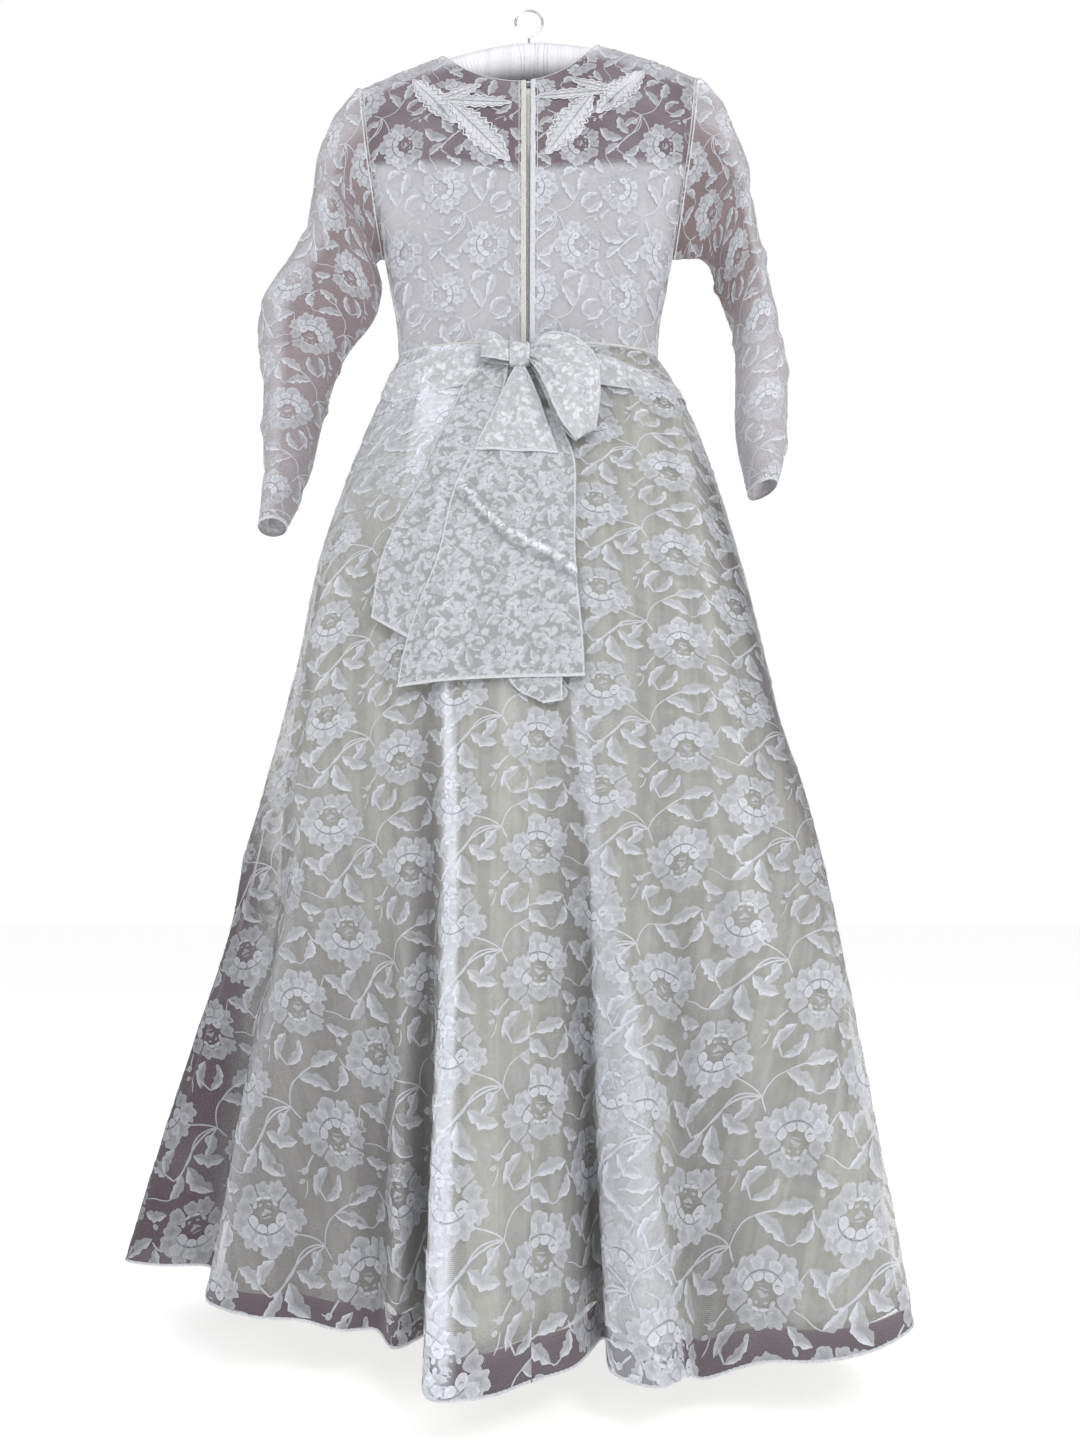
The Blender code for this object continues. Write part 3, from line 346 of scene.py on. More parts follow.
def drapeLine(height):
    places = np.linspace(hemRow["leftEdge"] - hemCount, hemRow["rightSide"], 131)
    drops = np.maximum((waistHeight - height) / (waistHeight - readHem(places, "lift")), 0.0)
    outline = skirtPoint(places, drops)
    x0, x1, y0, y1 = outline[:-1, 0], outline[1:, 0], outline[:-1, 1], outline[1:, 1]
    count = round((drapeSpan["right"] - drapeSpan["left"]) / drapeSpan["step"])
    line = []
    for k in range(count + 1):
        x = min(max(drapeSpan["left"] + drapeSpan["step"] * k, outline[:, 0].min() + 0.001),
                outline[:, 0].max() - 0.001)
        found = ((x0 - x) * (x1 - x) <= 0) & (x0 != x1)
        line.append((y0 + (y1 - y0) * (x - x0) / np.where(found, x1 - x0, 1))[found].min())
    reach = drapeSpan["reach"]
    spanned = [min(line[max(k - reach, 0):k + reach + 1]) for k in range(count + 1)]
    near = [spanned[max(k - reach, 0):k + reach + 1] for k in range(count + 1)]
    return [sum(row) / len(row) for row in near]


drapeCount = round((drapeSpan["high"] - drapeSpan["low"]) / drapeSpan["row"])
drapeLines = np.array([drapeLine(drapeSpan["low"] + drapeSpan["row"] * k) for k in range(drapeCount + 1)])


def drape(x, height):
    u = np.clip((x - drapeSpan["left"]) / drapeSpan["step"], 0, drapeLines.shape[1] - 1.001)
    v = np.clip((height - drapeSpan["low"]) / drapeSpan["row"], 0, len(drapeLines) - 1.001)
    i, j = u.astype(int), v.astype(int)
    low = mixed(drapeLines[j, i], drapeLines[j, i + 1], u - i)
    high = mixed(drapeLines[j + 1, i], drapeLines[j + 1, i + 1], u - i)
    return mixed(low, high, v - j)


# ---- the bow's strips and loops
stripColumns = "leftX leftHeight rightX rightHeight off"
strips = {
    "bow_tail_left": rowsOf(
        stripColumns,
        "-56 1022 -22.2 1024 5, -78 990 -28 985 3.8, -96 936 -42 932 3, -113 892 -56 884 3, "
        "-126 846 -70 832 3, -148 800 -86 774 3, -166 746 -104 716 3, -171 686 -127 657 3"),
    "bow_tail_centre": rowsOf(
        stripColumns,
        "-30 960 30 955 5.2, -61 897 54 888 5.2, -84 838 56 830 5.2, -98 755 54.5 758 5.2, "
        "-116 700 57 705 5.2, -131 645 61 655 5.2, -137 601 62 609 5.2"),
    "bow_tail_under": rowsOf(
        stripColumns,
        "-20 900 30 900 3.2, -30 800 44 800 3.2, -28 700 44 705 3.2, -18 606 39 625 3.2, "
        "18 578 38.5 582 3.2"),
    "bow_drop": rowsOf(
        stripColumns,
        "-16 1013.6 -3 1013.6 11, -29 980 11 978 9.5, -43 942 22 940 8, -55 914 30 912 7.2, "
        "-61 893 36 888 7"),
}
foldLine = rowsOf(
    "x height",
    "-76 846, -50 812, -17 780, 36 748, 60 724")
fold = dict(rise=0.006, width=0.009, start=-0.084)


def stripPoint(name, a, b):
    # a runs across from the left edge, b counts the rows down
    leftX, leftHeight, rightX, rightHeight, off = readAll(strips[name], b)
    x, height = mixed(leftX, rightX, a), mixed(leftHeight, rightHeight, a)
    off = off + dress["wall"]
    if name == "bow_drop":
        off = off + 0.003 * b / (len(strips[name]["off"]) - 1) * np.sin(math.tau * a) ** 2
    if name == "bow_tail_centre":
        above = height - readRows(foldLine, "x", x, "height")
        off = off + fold["rise"] * eased((x - fold["start"]) / 0.02) * np.exp(-(above / fold["width"]) ** 2)
    return joined(x, drape(x, height) - off, height - hookHeight)


loopColumns = "upperX upperHeight lowerX lowerHeight puff"
loops = {
    "bow_loop_right": rowsOf(
        loopColumns,
        "3 1044 3 1018 12, 26 1061 12 998 22, 56 1052 22 968 30, 82 1018 30 944 32, 86 968 40 922 28, "
        "80 918 56 902 18"),
    "bow_loop_left": rowsOf(
        loopColumns,
        "-22.2 1044 -22.2 1018 13, -34 1058 -35 1019 18, -46 1064 -48 1022 19, -56 1061 -57 1026 15"),
}


def loopPoint(name, turn, b):
    # turn 0 is the front layer at the knot, half a circle the back layer
    out = (len(loops[name]["puff"]) - 1) * np.sin(turn)
    upperX, upperHeight, lowerX, lowerHeight, puff = readAll(loops[name], out)
    x, height = mixed(upperX, lowerX, b), mixed(upperHeight, lowerHeight, b)
    puff = puff * (0.5 + 0.5 * signedPower(np.cos(turn), 0.5)) * (0.75 + 0.25 * np.sin(math.pi * b))
    return joined(x, drape(x, height) - 0.0078 - dress["wall"] - puff, height - hookHeight)


sashes = {
    "sash_left": rowsOf(
        "turn low high",
        "-249 1018 1040, -180 984 1037, -120 984 1046, -60 996 1058, -25 1008 1050, -4 1014 1046"),
    "sash_right": rowsOf(
        "turn low high",
        "4 1014 1046, 40 1002 1046, 80 990 1042, 130 986 1020, 160 976 1012, 200 990 1008, 249 993 1007"),
}
placeScale = np.linspace(-hemCount / 2, hemCount / 2, 1200)
turnScale = readHem(placeScale, "turn")


def sashPoint(name, turn, share):
    rows = sashes[name]
    height = mixed(readRows(rows, "turn", turn, "high"), readRows(rows, "turn", turn, "low"), share)
    place = np.interp(turn, turnScale, placeScale)
    drop = (waistHeight - height) / (waistHeight - readHem(place, "lift"))
    spot = skirtPoint(place, drop)
    along = skirtPoint(place + 0.2, drop) - skirtPoint(place - 0.2, drop)
    down = skirtPoint(place, drop + 0.01) - spot
    return spot - unit(np.cross(along, down)) * (dress["wall"] + 0.0008)


# ---- cloth panels: a form worked out from the functions above, with its creases
class Panel:
    # a runs across and b down; facing is 1 or -1, so that the normals look out of the dress
    def __init__(self, form, aEnds, bEnds, facing, across, down, zeroAt=0.0, creases=(), fanned=False,
                 swell=None):
        self.a, self.b = np.linspace(*aEnds, across + 1), np.linspace(*bEnds, down + 1)
        self.gridA, self.gridB = np.meshgrid(self.a, self.b, indexing="ij")
        self.points = form(self.gridA, self.gridB)
        self.facing = facing
        self.measure(zeroAt)
        bump = sum(self.creaseHeight(*crease) for crease in creases)
        if swell is not None:
            bump = bump + swell(self)
        if np.any(bump):
            self.points = self.points + self.normals * bump[..., None]
            self.measure(zeroAt)
        width = self.arc[-1] - self.arc[0]
        # the radius at which a flared panel is cut
        self.fan = self.fall[-1] * width[0] / (width[-1] - width[0]) if fanned else 0.0
        self.flatX, self.flatY = self.flatten(self.arc, self.fall[None, :])
        self.shadedFolds = self.foldHeights()

    def foldHeights(self, reach=6, depth=0.012):
        # 1 on the ridge of a fold, 0 in its hollow
        middle = self.points[reach:-reach] - (self.points[:-2 * reach] + self.points[2 * reach:]) / 2
        out = (middle * self.normals[reach:-reach]).sum(axis=-1) / depth
        return np.clip(0.5 + np.pad(out, ((reach, reach), (0, 0)), "edge"), 0, 1)

    def measure(self, zeroAt):
        alongA, alongB = np.gradient(self.points, axis=0), np.gradient(self.points, axis=1)
        normals = np.cross(alongA, alongB) * self.facing
        lengths = np.linalg.norm(normals, axis=-1)
        for j in np.where(lengths.max(axis=0) < 1e-12)[0]:
            normals[:, j] = normals[:, min(j + 1, normals.shape[1] - 1)]
        self.normals = unit(normals)
        steps = np.linalg.norm(np.diff(self.points, axis=0), axis=-1)
        arc = np.vstack([np.zeros((1, steps.shape[1])), np.cumsum(steps, axis=0)])
        middle = np.interp(zeroAt, self.a, np.arange(len(self.a)))
        i = min(int(middle), len(self.a) - 2)
        self.arc = arc - mixed(arc[i], arc[i + 1], middle - i)
        drops = np.linalg.norm(np.diff(self.points, axis=1), axis=-1).mean(axis=0)
        self.fall = np.concatenate([[0.0], np.cumsum(drops)])

    def creaseHeight(self, x0, y0, x1, y1, width, height):
        # a soft ridge, or a trough where height is negative, from one flat point to another
        s, v = self.arc, self.fall[None, :]
        length = math.hypot(x1 - x0, y1 - y0)
        along = ((s - x0) * (x1 - x0) + (v - y0) * (y1 - y0)) / length ** 2
        bend = 0.06 * length * np.sin(along * 2.6 + 40 * x0)
        aside = ((s - x0) * (y1 - y0) - (v - y0) * (x1 - x0)) / length + bend
        ends = eased((along + 0.12) / 0.4) * eased((1.12 - along) / 0.4)
        return height * ends * np.exp(-(aside / width) ** 2)

    def flatten(self, s, v):
        if not self.fan:
            return s + 0 * v, v + 0 * s
        radius = self.fan + v
        return radius * np.sin(s / radius), radius * np.cos(s / radius) - self.fan

    def unflatten(self, x, y):
        if not self.fan:
            return x, y
        radius = np.hypot(x, y + self.fan)
        return np.arctan2(x, y + self.fan) * radius, radius - self.fan

    def locate(self, s, v):
        # grid places of flat points, held to the panel's edges, and which of them are inside
        j = np.interp(v, self.fall, np.arange(len(self.fall)))
        row = np.minimum(j.astype(int), len(self.fall) - 2)
        part = j - row
        i, low, high = np.zeros(len(s)), np.zeros(len(s)), np.zeros(len(s))
        count = np.arange(len(self.a))
        for k in np.unique(row):
            here = row == k
            above, below = self.arc[:, k], self.arc[:, k + 1]
            i[here] = mixed(np.interp(s[here], above, count), np.interp(s[here], below, count), part[here])
            low[here] = mixed(above[0], below[0], part[here])
            high[here] = mixed(above[-1], below[-1], part[here])
        return i, j, (s >= low) & (s <= high) & (v >= 0) & (v <= self.fall[-1])

    def sample(self, grid, i, j):
        i0 = np.clip(i.astype(int), 0, grid.shape[0] - 2)
        j0 = np.clip(j.astype(int), 0, grid.shape[1] - 2)
        u, v = i - i0, j - j0
        if grid.ndim == 3:
            u, v = u[..., None], v[..., None]
        low, high = (mixed(grid[i0, j0 + k], grid[i0 + 1, j0 + k], u) for k in (0, 1))
        return mixed(low, high, v)

    def raised(self, i, j, height):
        return self.sample(self.points, i, j) + unit(self.sample(self.normals, i, j)) * height[..., None]

    def gridPlace(self, a, b):
        return np.interp(a, self.a, np.arange(len(self.a))), np.interp(b, self.b, np.arange(len(self.b)))

    def valuesAt(self, i, j):
        return np.interp(i, np.arange(len(self.a)), self.a), np.interp(j, np.arange(len(self.b)), self.b)

    def flatSize(self):
        return float((self.arc[-1] - self.arc[0]).max()), float(self.fall[-1])

    def area(self):
        # two triangles to each square of the grid
        near, beside, down, far = (self.points[i, j] for i in (slice(-1), slice(1, None))
                                   for j in (slice(-1), slice(1, None)))
        halves = np.cross(down - near, beside - near), np.cross(beside - far, down - far)
        return sum(float(np.linalg.norm(half, axis=-1).sum() / 2) for half in halves)


pieces = {}


def newObject(name, mesh, look):
    piece = bpy.data.objects.new(name, mesh)
    bpy.context.scene.collection.objects.link(piece)
    mesh.materials.append(look)
    mesh.shade_smooth()
    pieces[name] = piece
    return piece


def addValues(mesh, name, values):
    attribute = mesh.attributes.new(name, "FLOAT", "POINT")
    attribute.data.foreach_set("value", np.ascontiguousarray(values, dtype=np.float32).ravel())


def newPiece(name, points, faces, look, slot, **values):
    mesh = bpy.data.meshes.new(name)
    mesh.from_pydata(points.tolist(), [], faces.tolist())
    for key, numbers in values.items():
        addValues(mesh, key, numbers)
    return newObject(name, mesh, look)


def shell(name, panel, look, slot, across, down, values=None, weld=False, thickness=0.0):
    # the panel as one layer of cloth, on a grid of its own fineness
    sheet = bmesh.new()
    bmesh.ops.create_grid(sheet, x_segments=across, y_segments=down, size=0.5)
    mesh = bpy.data.meshes.new(name)
    sheet.to_mesh(mesh)
    sheet.free()
    corners = np.zeros(len(mesh.vertices) * 3, dtype=np.float32)
    mesh.vertices.foreach_get("co", corners)
    corners = corners.reshape(-1, 3)
    i = (corners[:, 0] + 0.5) * (len(panel.a) - 1)
    j = (0.5 - corners[:, 1]) * (len(panel.b) - 1)
    spots = panel.sample(panel.points, i, j)
    mesh.vertices.foreach_set("co", np.ascontiguousarray(spots, dtype=np.float32).ravel())
    mesh.update()
    flat = np.stack([panel.sample(panel.flatX, i, j), panel.sample(panel.flatY, i, j)], axis=-1)
    loops = np.zeros(len(mesh.loops), dtype=np.int32)
    mesh.loops.foreach_get("vertex_index", loops)
    mesh.uv_layers.new(name="flat").data.foreach_set("uv", flat[loops].astype(np.float32).ravel())
    # fold carries each point's painted fold shade
    for key, grid in {"fold": panel.shadedFolds, **(values or {})}.items():
        addValues(mesh, key, panel.sample(grid, i, j))
    out = unit(panel.sample(panel.normals, i, j))
    first = mesh.polygons[len(mesh.polygons) // 2]
    flip = Vector(out[first.vertices[0]]).dot(first.normal) < 0
    if weld or flip:
        sheet = bmesh.new()
        sheet.from_mesh(mesh)
        if weld:
            bmesh.ops.remove_doubles(sheet, verts=sheet.verts, dist=1e-5)
        if flip:
            bmesh.ops.reverse_faces(sheet, faces=sheet.faces)
        sheet.to_mesh(mesh)
        sheet.free()
    piece = newObject(name, mesh, look)
    if thickness:
        wall = piece.modifiers.new("cloth", "SOLIDIFY")
        wall.thickness, wall.offset = thickness, -1.0
    return piece


# ---- how the lace's shapes are drawn: every sprig is built flat in millimetres, once
class Gathering:
    # small shapes gathered into one mesh, with a tone from dark to white at each corner
    def __init__(self):
        self.points, self.tones, self.faces, self.count = [], [], [], 0

    def add(self, points, faces, tones=1.0):
        self.points.append(points)
        self.tones.append(np.broadcast_to(tones, len(points)))
        self.faces.append(faces + self.count)
        self.count += len(points)

    def gathered(self):
        return np.concatenate(self.points), np.concatenate(self.tones), np.concatenate(self.faces)

    def made(self, name, look, slot, **values):
        points, tones, faces = self.gathered()
        return newPiece(name, points, faces, look, slot, tone=tones, **values)


def facesOf(shape):
    shape.verts.index_update()
    faces = np.array([[corner.index for corner in face.verts] for face in shape.faces])
    shape.free()
    return faces


def cornersOf(shape):
    return np.array([corner.co[:] for corner in shape.verts])


def unitGrid(across, down):
    grid = bmesh.new()
    bmesh.ops.create_grid(grid, x_segments=across, y_segments=down, size=0.5)
    return grid, cornersOf(grid)


def rimmedDisc(corners, rim):
    shape = bmesh.new()
    bmesh.ops.create_circle(shape, cap_ends=True, segments=corners, radius=1)
    bmesh.ops.inset_region(shape, faces=shape.faces[:], thickness=rim, use_even_offset=False)
    bmesh.ops.poke(shape, faces=[face for face in shape.faces if len(face.verts) > 4])
    ring = cornersOf(shape)
    return shape, ring, np.hypot(ring[:, 0], ring[:, 1])


disc = dict(edge=0.92, rim=0.6, heart=0.3)


class Sprig(Gathering):
    def take(self, shape, points, tones):
        # in triangles that all face up
        bmesh.ops.triangulate(shape, faces=shape.faces)
        faces = facesOf(shape)
        first, second = (points[faces[:, k], :2] - points[faces[:, 0], :2] for k in (1, 2))
        turned = first[:, 0] * second[:, 1] - first[:, 1] * second[:, 0] < 0
        faces[turned] = faces[turned][:, ::-1]
        self.add(points, faces, tones)

    def place(self, shape, x, y, angle, along, aside, height, tones):
        # flat points turned to an angle and moved to x, y
        turn = math.radians(angle)
        points = [x + along * math.cos(turn) - aside * math.sin(turn),
                  y + along * math.sin(turn) + aside * math.cos(turn), height]
        self.take(shape, np.stack(points, axis=-1), tones)

    def petal(self, x, y, angle, length, width, height, tone, lobes=0, corners=24, fullness=0.6, rim=0.16,
              rimTone=1.0):
        # base at x, y; angle in degrees from straight right; lobes frill the outer end
        shape, ring, radius = rimmedDisc(corners, rim)
        around = np.arctan2(ring[:, 1], ring[:, 0])
        along = (1 + np.cos(around) * radius) / 2
        lobed = 0.26 * (np.abs(np.cos(around * lobes)) - 0.6) + 0.07 * np.sin(around * 6.7 + 2.9 * x)
        frill = 1 + lobed * eased(along * 2 - 0.5) * (radius > 0.9) * bool(lobes)
        side = np.sin(around) * radius * (fullness + (1 - fullness) * 2 * along) * frill
        lifted = np.where(radius > disc["edge"], -0.18, np.where(radius > disc["rim"], 0.16, 0.1))
        streak = 0.25 + 0.5 * along * (0.5 + 0.5 * np.cos(around * corners / 2))
        tones = np.where(radius > disc["heart"], mixed(tone, rimTone, streak), tone)
        far = 0.5 * length * (1 + np.cos(around) * radius * frill)
        self.place(shape, x, y, angle, far, 0.5 * width * side, height + lifted,
                   np.where(radius > disc["edge"], rimTone, tones))

    def cord(self, spots, width, height, tone, ends=0.4, samples=None):
        # a raised thread along a smooth line through the spots
        spots = np.array(spots, float)
        lengths = np.concatenate([[0], np.cumsum(np.hypot(*np.diff(spots, axis=0).T))])
        keyed = {"t": lengths, "x": spots[:, 0], "y": spots[:, 1]}
        shape, grid = unitGrid(samples or max(3, round(lengths[-1] / 3.4)), 2)
        t = (grid[:, 0] + 0.5) * lengths[-1]
        before, here, after = ([readRows(keyed, "t", t + step * lengths[-1], axis) for axis in "xy"]
                               for step in (-0.01, 0, 0.01))
        dx, dy = after[0] - before[0], after[1] - before[1]
        size = np.maximum(np.hypot(dx, dy), 1e-9)
        bulge = np.sin(math.pi * np.clip(t / lengths[-1], 0.0, 1.0)) ** 0.6
        aside = grid[:, 1] * width * (ends + (1 - ends) * bulge)
        points = np.stack([here[0] - dy / size * aside, here[1] + dx / size * aside,
                           height + 0.28 * (1 - (2 * grid[:, 1]) ** 2)], axis=-1)
        self.take(shape, points, tone)

    def leaf(self, x, y, angle, length, width, bend, tone, thickSide=1, height=0.35, corners=24, lobes=3.5,
             depth=0.42):
        # a lens bent to one side, lobed all round, with one thick white edge
        shape, ring, radius = rimmedDisc(corners, 0.24)
        along = (1 + ring[:, 0]) / 2
        serrated = depth * (np.abs(np.cos(math.pi * (along * lobes + 0.25))) - 0.5)
        serrated = 1 + (serrated + 0.12 * np.sin(along * 17 + 1.7 * x + 2 * ring[:, 1])) * (radius > 0.9)
        side = ring[:, 1] * np.sin(math.pi * np.clip(along, 0.02, 0.98)) ** 0.2 * serrated
        thick = np.where(ring[:, 1] * thickSide > 0.05, 1.0, 0.0)
        rim = radius > disc["rim"]
        self.place(shape, x, y, angle, along * length, 0.5 * width * side + bend * np.sin(math.pi * along),
                   height + 0.22 * thick * rim - 0.15 * (radius > disc["edge"]),
                   np.where(rim, mixed(tone, 1.0, 0.25 + 0.75 * thick), tone))

    def rose(self, x, y, turned=1, size=1.0, seed=0.0):
        # turned is 1 with the bright ring of petals below the heart, and -1 with it above
        def out(angle, reach, tall=0.86):
            turn = math.radians(angle)
            return x + reach * size * math.cos(turn), y + turned * reach * tall * size * math.sin(turn)

        def blob(angle, reach, long, wide, height, tone, corners=9):
            # a small full lens lying across the way out from the heart
            middleX, middleY = out(angle, reach)
            lean, half = turned * (angle - 90), 0.5 * long * size
            turn = math.radians(lean)
            self.petal(middleX - half * math.cos(turn), middleY - half * math.sin(turn), lean, long * size,
                       wide * size, height, tone - 0.12, 0, corners, fullness=1.0, rim=0.3, rimTone=tone)

        for angles, start, length, width, height, tone, rimTone in (
                ((-170, -133, -95, -58, -20), 16.5, 20.5, 17.5, 0.28, 0.44, 0.76),
                ((14, 51, 88, 125, 161), 13.5, 17, 14.5, 0.32, 0.38, 0.68),
                ((-148, -113, -72, -36), 18, 11.5, 12, 0.44, 0.60, 0.88)):
            for k, angle in enumerate(angles):
                wobble = math.sin(seed + 2.3 * k + length)
                long = length * size * (1 + 0.12 * wobble)
                self.petal(*out(angle, start, 0.88), turned * (angle + 6 * wobble), long, width * size,
                           height, tone, 3, rimTone=rimTone)
        # dark cords, of tone near 0, round the heart and out from it: painted shade of the open gaps
        self.cord([out(angle, 19.6, 17.0 / 19.6) for angle in range(-176, -16, 20)], 1.15, 0.62, 0.0)
        for angle, long, wide in ((-158, 11.5, 8.4), (-116, 10.5, 7.4), (-76, 10.5, 7.8), (-31, 13.0, 9.6)):
            blob(angle, 14.4, long, wide, 0.66, 0.92, 14)
        px, py = x + 12.0 * size, y - turned * 7.0 * size
        self.cord([(px - 2.2, py - 1.2), (px, py + 0.4), (px + 2.0, py - 0.4)], 1.0, 0.95, 0.0, samples=3)
        for angle in (-137, -96, -55):
            self.cord([out(angle, 11), out(angle, 18.4)], 0.7, 0.92, 0.02, samples=2)
        # the heart's small lenses: angle, reach, length, width, tone
        for angle, reach, long, wide, tone in table(
                5, "120 2 9 3.4 .66, 60 3.6 8 2.6 .6, -84 3.2 9 1.8 .55, 76 16 7.4 3 .94, 105 16 6.6 3 .94, "
                "137 13.6 5.4 4 .86, 40 13.4 5 3.8 .86, 66 10.2 4 2.2 .7, 114 10.4 3.8 2.2 .7, "
                "90 20.4 5 2 .8, 60 19.6 3.6 2 .75, 122 19.4 3.6 2 .75", 1):
            blob(angle, reach, long, wide, 0.6, tone)


lace = dict(width=0.155, tall=0.117, lift=0.00012, vine=1.9)


def oneRepeat():
    # two roses, one upright and one turned round, with their leaves, buds and vines
    sprig = Sprig()
    sprig.rose(40, 84, -1, 0.96, 0.4)
    sprig.rose(109, 31, 1, 0.98, 1.7)
    # x, y, angle, length, width, bend, tone and the side of the thick edge
    leaves = table(8, "3 38 52 29 9.5 3 .42 1, 13 33 40 27 8 -3 .42 -1, 35 29 14 33 12 2 .48 -1, "
                      "20 22 -28 33 11 3 .46 -1, 58 9 60 21 10 -4 .55 -1, 75 109 -50 26 11.5 3 .46 -1, "
                      "92 92 48 25 10.5 4 .46 1, 92 66 48 27 10 -3 .5 1, 64 64 -26 24 9.5 -2.5 .45 -1, "
                      "118 90 -62 35 15 -5.5 .36 -1, 126 98 -24 31 11.5 -3.5 .42 -1, "
                      "-3 112 -128 24 8.5 3 .45 -1", 1)
    for leaf in leaves:
        sprig.leaf(*leaf)
    vines = ("-26 11, -13 7, -4 3, 3 -2", "3 -2, -6 -1, -17 -3, -25 -9, -33 -21, -46 -31",
             "3 -2, 6 8, 12 17, 20 22", "3 -2, 6 -8, 9 -13", "3 -2, -3 -6, -8 -10", "20 22, 28 26, 36 29",
             "49 7, 53 5, 60 9", "67 34, 71 26, 76 22", "67 92, 70 101, 75 109", "92 92, 96 87, 100 82",
             "92 92, 86 97, 84 101", "100 82, 110 86, 119 95, 131 106, 145 113, 158 115",
             "67 76, 77 73, 85 68, 92 66", "0 61, 4 66, 10 72", "-2 52, -4 44, -8 38", "13 33, 9 40, 6 45",
             "146 62, 151 60, 154 60")
    for k, line in enumerate(vines):
        sprig.cord(table(2, line, 1), lace["vine"] * (0.85 + 0.2 * math.sin(3 * k)), 0.30, 0.80, ends=0.7)
    for bud in table(5, "-13 -12 30 9 8, -5 58 30 8 5, -4 53 200 6 4, 150 58 40 7 5, 74 44 120 7 4.5, "
                        "30 47 70 7 4.5", 1):
        sprig.petal(*bud, 0.35, 0.60, 0, corners=10, fullness=1.0, rim=0.3, rimTone=0.8)
    points, tones, faces = sprig.gathered()
    return points * 0.001, tones, faces


repeatPoints, repeatTones, repeatFaces = oneRepeat()
print("lace repeat:", len(repeatFaces), "triangles")


def laceOn(name, panel, look, slot, shift=(0.0, 0.0), turned=False, scale=1.0, behind=0.0, keep=None):
    # copies of the repeat over the whole panel, raised from it and trimmed at its edges
    wide, tall = lace["width"] * scale, lace["tall"] * scale
    flatX, flatY = (panel.flatY, panel.flatX) if turned else (panel.flatX, -panel.flatY)

    def copies(flat, start, size):
        return range(math.floor((flat.min() - start) / size) - 1, math.ceil((flat.max() - start) / size) + 2)

    gathering, shadedFolds = Gathering(), []
    for m in copies(flatX, shift[0], wide):
        for n in copies(flatY, shift[1], tall):
            px = repeatPoints[:, 0] * scale + m * wide + shift[0]
            py = repeatPoints[:, 1] * scale + n * tall + shift[1]
            i, j, inside = panel.locate(*panel.unflatten(*((py, px) if turned else (px, -py))))
            kept = inside[repeatFaces].any(axis=1)
            if keep is not None and kept.any():
                kept &= keep(i, j)[repeatFaces].all(axis=1)
            if not kept.any():
                continue
            used, faces = np.unique(repeatFaces[kept], return_inverse=True)
            i, j = i[used], j[used]
            gathering.add(panel.raised(i, j, repeatPoints[used, 2] + lace["lift"] - behind),
                          faces.reshape(-1, 3)[:, ::-panel.facing], repeatTones[used])
            shadedFolds.append(panel.sample(panel.shadedFolds, i, j))
    return gathering.made(name, look, slot, fold=np.concatenate(shadedFolds))


# ---- finishes
class Wire:
    # one socket of a finish, so that sums can be written as sums
    def __init__(self, look, socket):
        self.look, self.socket = look, socket

    def maths(self, operation, *others):
        return self.look.maths(operation, self, *others)

    def __add__(self, other):
        return self.maths("ADD", other)

    def __sub__(self, other):
        return self.maths("SUBTRACT", other)

    def __rsub__(self, other):
        return self.look.maths("SUBTRACT", other, self)

    def __mul__(self, other):
        return self.maths("MULTIPLY", other)

    def __truediv__(self, other):
        return self.maths("DIVIDE", other)

    __radd__, __rmul__ = __add__, __mul__


